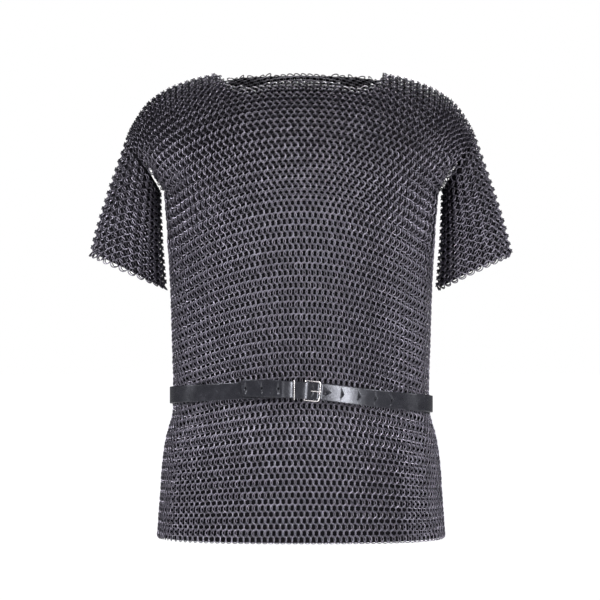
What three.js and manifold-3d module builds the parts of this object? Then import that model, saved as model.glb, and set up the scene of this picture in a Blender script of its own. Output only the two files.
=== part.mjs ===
// A short-sleeved mail shirt (hauberk) worn with a leather belt, in millimetres, +Z up.
// The front faces -Y. The origin is between the shoulders, where the wearer carries the weight.
//
// The shirt is cut as mail is: one straight tube of rings for the body, and over it a straight
// cross-piece that runs from cuff to cuff across the shoulders, with a hole for the neck.
// So every place on the cloth has two addresses:
//   column  0 at the middle of the front or back, 34 at the side seam and round the armhole,
//           50 at the cuff. Left and right are mirror images.
//   climb   0 at the hem, 1 at armpit height, 2 along the ridge of the shoulder.
// A wall is a grid of such addresses, with a second skin inside it.

import * as THREE from 'three';
import { mergeVertices } from 'three/addons/utils/BufferGeometryUtils.js';
import Module from 'manifold-3d';

// ---- driving dimensions -------------------------------------------------------------------

const WALL = 5;                 // thickness of the woven mail
const SEAM_GAP = 0.3;           // left between neighbouring pieces
const ARMPIT_Z = -172;
const HEM_Z = -671;

const SIDE_COLUMN = 34;         // columns in a quarter of the body
const CUFF_COLUMN = 50;
const NECK_COLUMN = 14.3;       // where the neck hole meets the ridge of the shoulder

// The tube of the body: half its width, its reach to front and back, and how square it is.
const BODY = [
  { z: HEM_Z, half: 209, front: 116, back: 118, square: 2.4 },
  { z: -615, half: 205, front: 114, back: 116, square: 2.4 },
  { z: -560, half: 201, front: 112, back: 114, square: 2.4 },
  { z: -525, half: 195.5, front: 109, back: 111, square: 2.4 },
  { z: -505, half: 190, front: 106.5, back: 107, square: 2.4 },
  { z: -490, half: 186.5, front: 105, back: 104.5, square: 2.4 },
  { z: -452, half: 185.5, front: 105.5, back: 104.5, square: 2.4 },
  { z: -390, half: 187.5, front: 112, back: 110, square: 2.4 },
  { z: -315, half: 190, front: 121, back: 118, square: 2.5 },
  { z: -240, half: 194, front: 130, back: 126, square: 2.7 },
  { z: ARMPIT_Z, half: 199, front: 134, back: 131, square: 2.9 },
];
const BAND_LIMIT = 42;          // a taller gap between two rows gets a band of its own

// The ridge of the shoulder and the outer edge of the sleeve, from the neck to the cuff.
const RIDGE = [
  { column: NECK_COLUMN, x: 122, z: 0 },
  { column: 18.5, x: 160, z: -9 },
  { column: 22.3, x: 192, z: -21 },
  { column: 26.6, x: 222, z: -42 },
  { column: 30.4, x: 242, z: -70 },
  { column: 34, x: 255, z: -97 },
  { column: 38, x: 271, z: -141 },
  { column: 42, x: 285, z: -182 },
  { column: 46, x: 298, z: -224 },
  { column: CUFF_COLUMN, x: 308, z: -265 },
];

// The underside of the sleeve, from the armpit to the cuff, and how far it bulges each way.
const SLEEVE = [
  { column: SIDE_COLUMN, x: 203, z: ARMPIT_Z, bulge: 68 },
  { column: 42, x: 200, z: -243, bulge: 64 },
  { column: CUFF_COLUMN, x: 194, z: -314, bulge: 58 },
];

// The edge of the neck hole. It rises a little at the throat, and the nape stands higher.
const THROAT = [
  { column: 0, z: -11 },
  { column: 5, z: -16 },
  { column: 9.5, z: -24 },
  { column: 12.4, z: -16 },
  { column: NECK_COLUMN, z: 0 },
];
const NAPE = [
  { column: 0, z: 12 },
  { column: 9.5, z: 8 },
  { column: NECK_COLUMN, z: 0 },
];
const NAPE_RISE = 26;           // how much higher the back of the neck would close
const CENTRE_ROUND = 0.8;       // curve of the chest and back, from armpit height to the neck
const ARMHOLE_ROUND = 2;        // the same at the armhole, where it is a plain ellipse

// The largest folds: a trough is negative. Places are in columns and in mm below the shoulder.
const FOLDS = [
  { face: 'front', side: 'both', column: 31, spread: 2.2, top: -110, foot: -240, depth: -7 },
  { face: 'front', side: 'both', column: 26, spread: 2.4, top: -120, foot: -300, depth: 4 },
  { face: 'front', side: 'left', column: 20, spread: 2.6, top: -230, foot: -440, depth: -3.5 },
  { face: 'front', side: 'right', column: 22, spread: 2.8, top: -200, foot: -430, depth: -3 },
  { face: 'front', side: 'both', column: 0, spread: 1.9, top: -230, foot: -440, depth: 2.5 },
  { face: 'front', side: 'left', column: 25, spread: 2.5, top: -506, foot: -690, depth: 4 },
  { face: 'front', side: 'left', column: 15, spread: 3, top: -506, foot: -670, depth: -3.5 },
  { face: 'front', side: 'right', column: 19, spread: 3, top: -506, foot: -690, depth: 3.5 },
  { face: 'front', side: 'right', column: 28, spread: 2.4, top: -506, foot: -660, depth: -4 },
  { face: 'back', side: 'both', column: 31, spread: 2.3, top: -110, foot: -250, depth: -7 },
  { face: 'back', side: 'left', column: 22, spread: 3, top: -200, foot: -450, depth: 4 },
  { face: 'back', side: 'right', column: 24, spread: 2.6, top: -180, foot: -440, depth: 3.5 },
  { face: 'back', side: 'left', column: 8, spread: 3, top: -260, foot: -450, depth: -4 },
  { face: 'back', side: 'right', column: 12, spread: 3.2, top: -506, foot: -690, depth: 4.5 },
  { face: 'back', side: 'left', column: 18, spread: 3, top: -506, foot: -690, depth: 4 },
];

// How finely the walls are faceted.
const NECK_STRIPS = 5;
const SHOULDER_STRIPS = 8;
const SHOULDER_BANDS = 8;
const SLEEVE_STRIPS = 6;
const ARC_SAMPLES = 60;

// The belt: one plain strap. Its inner end is folded round the bar of a buckle that sits just
// to the viewer's right of the middle, and its free end runs on past it and points left.
const STRAP_WIDE = 24;
const STRAP_THICK = 2.4;
const STRAP_OFF = 3.6;          // from the mail to the middle of the strap
const LAYER_STEP = 2.9;         // from one layer of strap to the next
const BELT_Z = -479.7;          // height at the back
const BELT_RISE = 24.7;         // how much higher the middle of the front is
const BELT_TILT = 6.5;          // lower by this at viewer's right, higher at the left
const WIRE = 2.2;               // steel wire of the buckle
const PLAY = 0.45;              // between steel and leather
const BAR_X = 5;                // the bar that the strap is folded round
const FRAME_LONG = 21;          // from the bar to the wire it closes on
const FRAME_HIGH = 27.4;        // between the middles of the buckle's arms
const FOLD_RADIUS = WIRE / 2 + PLAY + STRAP_THICK / 2;
const BAR_OFF = STRAP_OFF + FOLD_RADIUS;
const PRONG_WIRE = 1.8;
const KEEPER_X = -9.7;
const KEEPER_WIRE = 1.8;
const RETURN_X = -26;           // the folded end, hidden under the strap
const TIP_X = -82;              // the strap's free end
const TAIL_BOW = 5;             // how far the free end stands off between keeper and tip
const TAIL_LIFT = 4;            // how much higher its tip lies
const HOLE_PITCH = 22.5;
const HOLE_RADIUS = 1.4;
const HOLES = { first: -4, last: 5, pierced: 0 };   // counted from the hole the prong is in
const PRONG_HOLE_X = 13.5;
const BELT_STEPS = 13;          // stations in each half of the front or back

// ---- small helpers ------------------------------------------------------------------------

const clamp01 = (value) => Math.min(1, Math.max(0, value));
const smooth = (value) => clamp01(value) ** 2 * (3 - 2 * clamp01(value));
const mix = (from, to, share) => from + (to - from) * share;
const climbAt = (z) => (z - HEM_Z) / (ARMPIT_Z - HEM_Z);

// A value from a table, on a curve that runs smoothly through its rows.
function fromTable(table, key, at, column) {
  const rows = table[0][key] < table[table.length - 1][key] ? table : [...table].reverse();
  const place = Math.min(Math.max(at, rows[0][key]), rows[rows.length - 1][key]);
  let i = 0;
  while (i < rows.length - 2 && place > rows[i + 1][key]) i += 1;
  const [a, b] = [rows[i], rows[i + 1]];
  const before = rows[Math.max(i - 1, 0)];
  const after = rows[Math.min(i + 2, rows.length - 1)];
  const span = b[key] - a[key];
  const share = (place - a[key]) / span;
  const slopeA = (b[column] - before[column]) / (b[key] - before[key]);
  const slopeB = (after[column] - a[column]) / (after[key] - a[key]);
  return a[column] * (1 + 2 * share) * (1 - share) ** 2
    + b[column] * share ** 2 * (3 - 2 * share)
    + span * slopeA * share * (1 - share) ** 2
    - span * slopeB * share ** 2 * (1 - share);
}

// A curve given by an angle from 0 to a quarter turn, walked by its length instead.
function byLength(curve) {
  const points = [];
  const length = [0];
  for (let i = 0; i <= ARC_SAMPLES; i += 1) {
    points.push(curve((i / ARC_SAMPLES) * (Math.PI / 2)));
    if (i > 0) length.push(length[i - 1] + points[i].distanceTo(points[i - 1]));
  }
  const total = length[ARC_SAMPLES];
  return {
    total,
    angle(share) {
      const goal = clamp01(share) * total;
      let i = 1;
      while (i < ARC_SAMPLES && length[i] < goal) i += 1;
      const part = (goal - length[i - 1]) / (length[i] - length[i - 1]);
      return ((i - 1 + part) / ARC_SAMPLES) * (Math.PI / 2);
    },
  };
}

const remembered = new Map();
function remember(name, make) {
  if (!remembered.has(name)) remembered.set(name, make());
  return remembered.get(name);
}

// ---- the form of the cloth ----------------------------------------------------------------

// One quarter of the tube at a height: column 0 at the middle, 34 at the side.
function quarter(face, z) {
  const half = fromTable(BODY, 'z', z, 'half');
  const reach = fromTable(BODY, 'z', z, face);
  const power = 2 / fromTable(BODY, 'z', z, 'square');
  const curve = (angle) => new THREE.Vector3(
    half * Math.sin(angle) ** power,
    reach * Math.max(0, Math.cos(angle)) ** power,
    z,
  );
  return { curve, ...byLength(curve) };
}

function onBody(face, column, z) {
  const section = remember(`${face} ${z.toFixed(4)}`, () => quarter(face, z));
  // past the side seam the quarter is the other face's
  if (column > SIDE_COLUMN) {
    const other = onBody(face === 'front' ? 'back' : 'front', 2 * SIDE_COLUMN - column, z);
    return other.setY(-other.y);
  }
  return section.curve(section.angle(column / SIDE_COLUMN));
}

// One column from armpit height to the ridge. On the body it starts where the tube ends,
// and on the sleeve it is half of a loop round the arm.
function climbCurve(face, column) {
  const onSleeve = column >= SIDE_COLUMN;
  const from = onSleeve
    ? new THREE.Vector3(
      fromTable(SLEEVE, 'column', column, 'x'), 0, fromTable(SLEEVE, 'column', column, 'z'),
    )
    : onBody(face, column, ARMPIT_Z);
  const neckShare = Math.min(1, column / NECK_COLUMN);
  const toX = fromTable(RIDGE, 'column', column, 'x') * neckShare;
  const nape = face === 'back' ? NAPE_RISE * (1 - neckShare ** 2) : 0;
  const toZ = fromTable(RIDGE, 'column', column, 'z') + nape;
  const outward = smooth((column - NECK_COLUMN) / (SIDE_COLUMN - NECK_COLUMN));
  const round = mix(CENTRE_ROUND, ARMHOLE_ROUND, outward);
  const bulge = fromTable(SLEEVE, 'column', Math.max(column, SIDE_COLUMN), 'bulge') * outward;
  return (angle) => {
    const up = Math.sin(angle) ** round;
    return new THREE.Vector3(
      mix(from.x, toX, up),
      from.y * Math.max(0, Math.cos(angle)) ** round + bulge * Math.sin(2 * angle),
      mix(from.z, toZ, up),
    );
  };
}

function onShoulder(face, column, climb) {
  const line = remember(`${face} column ${column.toFixed(4)}`, () => {
    const curve = climbCurve(face, column);
    return { curve, ...byLength(curve) };
  });
  return line.curve(line.angle(climb));
}

// Any place on the outside of the cloth, before its folds. climb runs past 2 to the other face.
function place(face, side, column, climb) {
  let point;
  if (column < 0) {
    return place(face, -side, -column, climb);
  }
  if (climb > 2) {
    return place(face === 'front' ? 'back' : 'front', side, column, 4 - climb);
  }
  if (climb < 1 || (climb === 1 && column <= SIDE_COLUMN)) {
    point = onBody(face, column, mix(HEM_Z, ARMPIT_Z, climb));
  } else {
    point = onShoulder(face, column, climb - 1);
  }
  return new THREE.Vector3(side * point.x, face === 'front' ? -point.y : point.y, point.z);
}

// The direction out of the cloth, from places close by on either side.
function outward(face, side, column, climb) {
  const atArmpit = Math.abs(column - SIDE_COLUMN) < 0.01 && Math.abs(climb - 1) < 0.001;
  if (atArmpit) return new THREE.Vector3(0, 0, -1);
  const [stepColumn, stepClimb] = [0.4, 0.012];
  const under = column > SIDE_COLUMN ? Math.max(climb - stepClimb, 1) : climb - stepClimb;
  const along = place(face, side, column + stepColumn, climb)
    .sub(place(face, side, column - stepColumn, climb));
  const up = place(face, side, column, climb + stepClimb).sub(place(face, side, column, under));
  if (column > SIDE_COLUMN && climb - stepClimb < 1) {
    // under the sleeve the two halves of the loop meet, so the direction there is level
    up.x = climb === 1 ? 0 : up.x;
    up.z = climb === 1 ? 0 : up.z;
  }
  const normal = along.cross(up).normalize();
  const turned = (face === 'front' ? 1 : -1) * side;
  return normal.multiplyScalar(turned);
}

function foldDepth(face, side, column, z) {
  let depth = 0;
  for (const fold of FOLDS) {
    const here = fold.face === face
      && (fold.side === 'both' || (fold.side === 'left') === (side < 0));
    if (here) {
      const across = Math.exp(-(((column - fold.column) / fold.spread) ** 2));
      const along = (z - fold.foot) / (fold.top - fold.foot);
      depth += fold.depth * across * Math.sin(Math.PI * clamp01(along)) ** 0.7;
    }
  }
  return depth;
}

// The outer and inner skin of the cloth at one address.
function skins(face, side, column, climb) {
  const base = place(face, side, column, climb);
  const normal = outward(face, side, column, climb);
  const fold = column < SIDE_COLUMN - 0.1 ? foldDepth(face, side, column, base.z) : 0;
  const outer = base.clone().addScaledVector(normal, fold);
  const inner = outer.clone().addScaledVector(normal, -WALL);
  return { outer, inner };
}

// How high a column of the body reaches: to the ridge, or to the edge of the neck hole.
function topOf(face, column) {
  if (column >= NECK_COLUMN) return 2;
  const edgeZ = fromTable(face === 'front' ? THROAT : NAPE, 'column', column, 'z');
  let [low, high] = [1, 2];
  for (let i = 0; i < 24; i += 1) {
    const middle = (low + high) / 2;
    if (place(face, 1, column, middle).z < edgeZ) low = middle;
    else high = middle;
  }
  return low;
}

// ---- closed walls -------------------------------------------------------------------------

// A wall from a grid of { outer, inner } pairs. Rows run round, columns run along.
// closed joins each row's last point to its first. seams lists the edges that draw back.
function wallGeometry(grid, { closed = false, seams = [], flip = false }) {
  const rows = grid.length;
  const count = grid[0].length;
  const draw = (row, i, towards) => {
    for (const skin of ['outer', 'inner']) {
      const from = grid[row][i][skin];
      const goal = towards[skin];
      from.add(goal.clone().sub(from).setLength(SEAM_GAP / 2));
    }
  };
  for (let i = 0; i < count; i += 1) {
    if (seams.includes('bottom')) draw(0, i, grid[1][i]);
    if (seams.includes('top') && grid[rows - 1][i].onSeam !== false) {
      draw(rows - 1, i, grid[rows - 2][i]);
    }
  }
  for (let row = 0; row < rows; row += 1) {
    if (seams.includes('left')) draw(row, 0, grid[row][1]);
    if (seams.includes('right')) draw(row, count - 1, grid[row][count - 2]);
  }
  const positions = [];
  for (const skin of ['outer', 'inner']) {
    for (const row of grid) for (const pair of row) positions.push(...pair[skin].toArray());
  }
  const innerStart = rows * count;
  const at = (row, i) => row * count + (i % count);
  const index = [];
  const quad = (a, b, c, d) => {
    if (flip) index.push(a, c, b, a, d, c);
    else index.push(a, b, c, a, c, d);
  };
  const spans = closed ? count : count - 1;
  for (let row = 0; row < rows - 1; row += 1) {
    for (let i = 0; i < spans; i += 1) {
      const [a, b, c, d] = [at(row, i), at(row, i + 1), at(row + 1, i + 1), at(row + 1, i)];
      quad(a, b, c, d);
      quad(innerStart + a, innerStart + d, innerStart + c, innerStart + b);
    }
  }
  for (let i = 0; i < spans; i += 1) {
    const [a, b] = [at(0, i), at(0, i + 1)];
    // a seam's end faces are split the way that the piece across the seam splits them
    if (closed && i >= spans / 2) quad(b, a, innerStart + a, innerStart + b);
    else quad(a, innerStart + a, innerStart + b, b);
    const [c, d] = [at(rows - 1, i), at(rows - 1, i + 1)];
    quad(c, d, innerStart + d, innerStart + c);
  }
  if (!closed) {
    for (let row = 0; row < rows - 1; row += 1) {
      const [a, b] = [at(row, 0), at(row + 1, 0)];
      quad(a, b, innerStart + b, innerStart + a);
      const [c, d] = [at(row, count - 1), at(row + 1, count - 1)];
      quad(c, innerStart + c, innerStart + d, d);
    }
  }
  const geometry = new THREE.BufferGeometry();
  geometry.setAttribute('position', new THREE.Float32BufferAttribute(positions, 3));
  geometry.setIndex(index);
  geometry.computeVertexNormals();
  return geometry;
}

// The strips of half a panel: some across the neck hole, and the rest out to the side seam.
const STRIPS = NECK_STRIPS + SHOULDER_STRIPS;
function stripColumn(strip) {
  if (strip <= NECK_STRIPS) return (NECK_COLUMN * strip) / NECK_STRIPS;
  return mix(NECK_COLUMN, SIDE_COLUMN, (strip - NECK_STRIPS) / SHOULDER_STRIPS);
}

// The heights that the tube's bands run between, as climbs.
function bodyClimbs() {
  const climbs = [];
  BODY.forEach(({ z }, i) => {
    const gap = i > 0 ? z - BODY[i - 1].z : 0;
    if (gap > BAND_LIMIT) climbs.push(climbAt(z - gap / 2));
    climbs.push(climbAt(z));
  });
  return climbs;
}

function panel(face) {
  const grid = [];
  const climbs = bodyClimbs();
  for (let band = 0; band < climbs.length + SHOULDER_BANDS; band += 1) {
    const row = [];
    for (let strip = -STRIPS; strip <= STRIPS; strip += 1) {
      const [side, column] = [strip < 0 ? -1 : 1, stripColumn(Math.abs(strip))];
      const climb = band < climbs.length
        ? climbs[band]
        : mix(1, topOf(face, column), (band + 1 - climbs.length) / SHOULDER_BANDS);
      row.push({ ...skins(face, side, column, climb), onSeam: column >= NECK_COLUMN });
    }
    grid.push(row);
  }
  return wallGeometry(grid, { seams: ['top', 'left', 'right'], flip: face === 'back' });
}

function sleeve(side) {
  const grid = [];
  for (let strip = 0; strip <= SLEEVE_STRIPS; strip += 1) {
    const column = mix(SIDE_COLUMN, CUFF_COLUMN, strip / SLEEVE_STRIPS);
    const loop = [];
    for (let band = 0; band < 2 * SHOULDER_BANDS; band += 1) {
      const face = band <= SHOULDER_BANDS ? 'front' : 'back';
      const climb = 1 + (face === 'front' ? band : 2 * SHOULDER_BANDS - band) / SHOULDER_BANDS;
      loop.push(skins(face, side, column, climb));
    }
    grid.push(loop);
  }
  return wallGeometry(grid, { closed: true, seams: ['bottom'], flip: side > 0 });
}

// ---- the belt -----------------------------------------------------------------------------

const beltHeight = (x, y) => {
  const turn = Math.atan2(x, -y);
  return BELT_Z + BELT_RISE * ((1 + Math.cos(turn)) / 2) ** 2 - BELT_TILT * Math.sin(turn);
};

// The place on the cloth behind the belt. across counts columns from the middle of a face,
// negative to the viewer's left of the front.
function beltGround(face, across) {
  const [side, column] = [across < 0 ? -1 : 1, Math.abs(across)];
  let z = BELT_Z;
  let point;
  for (let i = 0; i < 3; i += 1) {
    point = place(face, side, column, climbAt(z));
    z = beltHeight(point.x, point.y);
  }
  const normal = outward(face, side, column, climbAt(z)).setZ(0).normalize();
  return { point: point.setZ(z), normal };
}

// A place at the front, x to the side and off the cloth.
function frontPlace(x, off, lift = 0) {
  let [low, high] = [-SIDE_COLUMN, SIDE_COLUMN];
  for (let i = 0; i < 30; i += 1) {
    const middle = (low + high) / 2;
    if (beltGround('front', middle).point.x < x) low = middle;
    else high = middle;
  }
  const { point, normal } = beltGround('front', low);
  return point.addScaledVector(normal, off).add(new THREE.Vector3(0, 0, lift));
}

// How far the layer that is sewn to the buckle stands off, left of the bar.
function underLayer(x) {
  const atKeeper = STRAP_OFF + LAYER_STEP + KEEPER_WIRE + 2 * PLAY - 0.5;
  const atReturn = STRAP_OFF + LAYER_STEP;
  if (x > KEEPER_X) return mix(BAR_OFF + FOLD_RADIUS, atKeeper, (BAR_X - x) / (BAR_X - KEEPER_X));
  if (x > RETURN_X) return mix(atKeeper, atReturn, smooth((KEEPER_X - x) / (KEEPER_X - RETURN_X)));
  return mix(atReturn, STRAP_OFF, smooth((RETURN_X - x) / 12));
}

// The strap's middle line, from its hidden folded end to its free tip.
function strapRoute() {
  const route = [];
  for (const x of [RETURN_X, -18, KEEPER_X, -3, BAR_X]) route.push(frontPlace(x, STRAP_OFF));
  for (let i = 1; i <= 7; i += 1) {
    const turn = (i / 7) * Math.PI;
    const x = BAR_X + FOLD_RADIUS * Math.sin(turn);
    route.push(frontPlace(x, BAR_OFF - FOLD_RADIUS * Math.cos(turn)));
  }
  for (const x of [-2, KEEPER_X, -18, RETURN_X, -32, -38, -52]) {
    route.push(frontPlace(x, underLayer(x)));
  }
  const start = -12;            // columns, where the plain run round the body begins
  const end = 6;
  for (let i = 0; i < BELT_STEPS; i += 1) {
    const across = mix(start, -SIDE_COLUMN, i / BELT_STEPS);
    const { point, normal } = beltGround('front', across);
    route.push(point.addScaledVector(normal, STRAP_OFF));
  }
  for (let i = 0; i <= 2 * BELT_STEPS; i += 1) {
    const across = mix(-SIDE_COLUMN, SIDE_COLUMN, i / (2 * BELT_STEPS));
    const { point, normal } = beltGround('back', across);
    route.push(point.addScaledVector(normal, STRAP_OFF));
  }
  for (let i = 1; i <= BELT_STEPS; i += 1) {
    const across = mix(SIDE_COLUMN, end, i / BELT_STEPS);
    const { point, normal } = beltGround('front', across);
    route.push(point.addScaledVector(normal, STRAP_OFF));
  }
  // up through the buckle and over the fold
  const over = BAR_OFF + FOLD_RADIUS + LAYER_STEP;
  const rise = [[28, 0], [22.5, 0], [18.5, 0.22], [PRONG_HOLE_X, 0.6], [9.5, 0.9], [5, 1]];
  for (const [x, share] of rise) route.push(frontPlace(x, mix(STRAP_OFF, over, share)));
  for (const x of [-3, KEEPER_X, -20, -32, -44, -56, -68, -76, TIP_X]) {
    const run = clamp01((KEEPER_X - x) / (KEEPER_X - TIP_X));
    const bow = TAIL_BOW * Math.sin(Math.PI * run ** 0.8) + 1.2 * run;
    route.push(frontPlace(x, underLayer(x) + LAYER_STEP + bow, TAIL_LIFT * run));
  }
  return route;
}

// Up the strap's width: square to the line that the belt takes round the body.
function beltUp({ x, y }) {
  const turn = Math.atan2(x, -y);
  const step = 0.02;
  const ahead = beltHeight(Math.sin(turn + step), -Math.cos(turn + step));
  const behind = beltHeight(Math.sin(turn - step), -Math.cos(turn - step));
  const slope = (ahead - behind) / (2 * step * Math.hypot(x, y));
  const line = new THREE.Vector3(Math.cos(turn), Math.sin(turn), slope).normalize();
  return new THREE.Vector3(0, 0, 1).addScaledVector(line, -line.z).normalize();
}

// Up the strap and out of its face, at each point of its route.
function routeFrames(route) {
  return route.map((point, i) => {
    const before = route[Math.max(i - 1, 0)];
    const after = route[Math.min(i + 1, route.length - 1)];
    const along = after.clone().sub(before).normalize();
    const up = beltUp(point);
    return { point, up, face: up.clone().cross(along).normalize() };
  });
}

function strapGeometry() {
  const frames = routeFrames(strapRoute());
  const positions = [];
  const index = [];
  frames.forEach(({ point, face, up }, i) => {
    const high = STRAP_WIDE / 2 - (i === frames.length - 1 ? 2 : 0);
    for (const [out, rise] of [[1, -1], [1, 1], [-1, 1], [-1, -1]]) {
      positions.push(...point.clone()
        .addScaledVector(face, (out * STRAP_THICK) / 2)
        .addScaledVector(up, rise * high).toArray());
    }
  });
  const last = 4 * (frames.length - 1);
  for (let i = 0; i < frames.length - 1; i += 1) {
    for (let corner = 0; corner < 4; corner += 1) {
      const [a, b] = [4 * i + corner, 4 * i + ((corner + 1) % 4)];
      index.push(a, b, b + 4, a, b + 4, a + 4);
    }
  }
  index.push(0, 3, 2, 0, 2, 1, last, last + 1, last + 2, last, last + 2, last + 3);
  const geometry = new THREE.BufferGeometry();
  geometry.setAttribute('position', new THREE.Float32BufferAttribute(positions, 3));
  geometry.setIndex(index);
  return geometry;
}

// A round wire along a path of points, open with flat ends or closed on itself.
function wireGeometry(path, thickness, closed) {
  const sides = 8;
  const count = path.length;
  const positions = [];
  const index = [];
  const centre = path.reduce((sum, point) => sum.add(point), new THREE.Vector3())
    .divideScalar(count);
  let flat = new THREE.Vector3();
  for (let i = 0; i < count - 1; i += 1) {
    flat.add(path[i].clone().sub(centre).cross(path[i + 1].clone().sub(centre)));
  }
  flat = flat.normalize();
  path.forEach((point, i) => {
    const before = closed ? path[(i + count - 1) % count] : path[Math.max(i - 1, 0)];
    const after = closed ? path[(i + 1) % count] : path[Math.min(i + 1, count - 1)];
    const along = after.clone().sub(before).normalize();
    const out = along.clone().cross(flat).normalize();
    const over = out.clone().cross(along).normalize();
    for (let side = 0; side < sides; side += 1) {
      const turn = (side / sides) * 2 * Math.PI;
      positions.push(...point.clone()
        .addScaledVector(out, (Math.cos(turn) * thickness) / 2)
        .addScaledVector(over, (Math.sin(turn) * thickness) / 2).toArray());
    }
  });
  const spans = closed ? count : count - 1;
  for (let i = 0; i < spans; i += 1) {
    for (let side = 0; side < sides; side += 1) {
      const next = (side + 1) % sides;
      const [a, b] = [i * sides + side, i * sides + next];
      const [c, d] = [((i + 1) % count) * sides + next, ((i + 1) % count) * sides + side];
      index.push(a, c, b, a, d, c);
    }
  }
  if (!closed) {
    const last = (count - 1) * sides;
    for (let side = 1; side < sides - 1; side += 1) {
      index.push(0, side, side + 1, last, last + side + 1, last + side);
    }
  }
  const geometry = new THREE.BufferGeometry();
  geometry.setAttribute('position', new THREE.Float32BufferAttribute(positions, 3));
  geometry.setIndex(index);
  return geometry;
}

// A rectangle about (0, 0) with its right and left corners rounded, as points in turn.
function roundedRectangle(long, high, rightRadius, leftRadius, cornerSteps) {
  const points = [];
  const corners = [[1, 1, 0], [-1, 1, 1], [-1, -1, 2], [1, -1, 3]];
  for (const [right, up, quarterTurn] of corners) {
    const radius = right > 0 ? rightRadius : leftRadius;
    for (let i = 0; i <= cornerSteps; i += 1) {
      const turn = (quarterTurn + i / cornerSteps) * (Math.PI / 2);
      points.push([
        right * (long / 2 - radius) + radius * Math.cos(turn),
        up * (high / 2 - radius) + radius * Math.sin(turn),
      ]);
    }
  }
  return points;
}

// Places on the buckle: its own flat plane, x along the strap and rise up it.
const buckleTilt = () => {
  const [left, right] = [frontPlace(BAR_X, 0), frontPlace(BAR_X + FRAME_LONG, 0)];
  return right.sub(left).normalize();
};

function bucklePlace(along, off, rise) {
  const direction = buckleTilt();
  const up = new THREE.Vector3(0, 0, 1).addScaledVector(direction, -direction.z).normalize();
  const out = direction.clone().cross(up).normalize();
  return frontPlace(BAR_X, 0)
    .addScaledVector(direction, along)
    .addScaledVector(out, off)
    .addScaledVector(up, rise);
}

function buckleFrame() {
  const outline = roundedRectangle(FRAME_LONG, FRAME_HIGH, 3.6, 1.3, 4);
  const path = outline.map(([x, rise]) => bucklePlace(x + FRAME_LONG / 2, BAR_OFF, rise));
  return wireGeometry(path, WIRE, true);
}

const PRONG_OFF = BAR_OFF + WIRE / 2 + PLAY + PRONG_WIRE / 2;

function bucklePieces() {
  const eye = WIRE / 2 + PLAY + PRONG_WIRE / 2;
  const path = [];
  for (let i = 0; i <= 12; i += 1) {
    const turn = mix(-200, 90, i / 12) * (Math.PI / 180);
    path.push(bucklePlace(-eye * Math.cos(turn), BAR_OFF + eye * Math.sin(turn), 0));
  }
  path.push(bucklePlace(4, PRONG_OFF, 0));
  path.push(bucklePlace(FRAME_LONG + 2.2, PRONG_OFF, 0));
  return { frame: buckleFrame(), prong: wireGeometry(path, PRONG_WIRE, false) };
}

// The wire loop that holds the free end down. Its back passes inside the strap's fold.
function keeperGeometry() {
  const low = STRAP_OFF + STRAP_THICK / 2 + PLAY + KEEPER_WIRE / 2;
  const high = underLayer(KEEPER_X) + LAYER_STEP + STRAP_THICK / 2 + PLAY + KEEPER_WIRE / 2;
  const tall = STRAP_WIDE + KEEPER_WIRE + 2 * PLAY + 1.4;
  const outline = roundedRectangle(high - low, tall, 1.6, 1.6, 3);
  const path = outline.map(([off, rise]) => frontPlace(KEEPER_X, (low + high) / 2 + off, rise));
  return wireGeometry(path, KEEPER_WIRE, true);
}

const wasm = await Module();
wasm.setup();

function toSolid(geometry) {
  const bare = geometry.clone();
  bare.deleteAttribute('normal');
  bare.deleteAttribute('uv');
  const merged = mergeVertices(bare);
  return new wasm.Manifold(new wasm.Mesh({
    numProp: 3,
    vertProperties: new Float32Array(merged.attributes.position.array),
    triVerts: new Uint32Array(merged.index.array),
  }));
}

function fromSolid(solid) {
  const mesh = solid.getMesh();
  const geometry = new THREE.BufferGeometry();
  geometry.setAttribute('position', new THREE.BufferAttribute(mesh.vertProperties, 3));
  geometry.setIndex(new THREE.BufferAttribute(mesh.triVerts, 1));
  geometry.computeVertexNormals();
  return geometry;
}

// A punch from one place to another, to cut a round hole.
function punch(from, to, radius) {
  const span = to.clone().sub(from);
  const geometry = new THREE.CylinderGeometry(radius, radius, span.length(), 10);
  const turn = new THREE.Quaternion()
    .setFromUnitVectors(new THREE.Vector3(0, 1, 0), span.clone().normalize());
  geometry.applyQuaternion(turn);
  geometry.translate(...from.clone().add(to).multiplyScalar(0.5).toArray());
  return toSolid(geometry);
}

function punchedStrap() {
  let strap = toSolid(strapGeometry());
  const reach = 4;
  for (let k = HOLES.first; k <= HOLES.last; k += 1) {
    const x = PRONG_HOLE_X + k * HOLE_PITCH;
    const run = clamp01((KEEPER_X - x) / (KEEPER_X - TIP_X));
    const bow = TAIL_BOW * Math.sin(Math.PI * run ** 0.8) + 1.2 * run;
    const off = x > PRONG_HOLE_X ? STRAP_OFF : underLayer(x) + LAYER_STEP + bow;
    const lift = x > PRONG_HOLE_X ? 0 : TAIL_LIFT * run;
    if (k !== HOLES.pierced) {
      const deep = x > PRONG_HOLE_X ? reach : STRAP_THICK * 0.5 + 0.2;
      strap = strap.subtract(
        punch(frontPlace(x, off - deep, lift), frontPlace(x, off + reach, lift), HOLE_RADIUS),
      );
    }
  }
  const prongRoom = PRONG_WIRE / 2 + PLAY;
  strap = strap.subtract(
    punch(bucklePlace(2.6, PRONG_OFF, 0), bucklePlace(FRAME_LONG + 4, PRONG_OFF, 0), prongRoom),
  );
  // the slot in the fold that lets the prong turn on its bar
  const slot = new THREE.BoxGeometry(9, 9, PRONG_WIRE + 3 * PLAY);
  const direction = buckleTilt();
  slot.rotateZ(Math.atan2(direction.y, direction.x));
  slot.translate(...bucklePlace(-0.4, BAR_OFF - 0.2, 0).toArray());
  return fromSolid(strap.subtract(toSolid(slot)));
}

// ---- the shirt and its belt ---------------------------------------------------------------

const hauberk = new THREE.Group();

function addMesh(name, geometry, material) {
  const mesh = new THREE.Mesh(geometry, material);
  mesh.name = name;
  hauberk.add(mesh);
}

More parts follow.
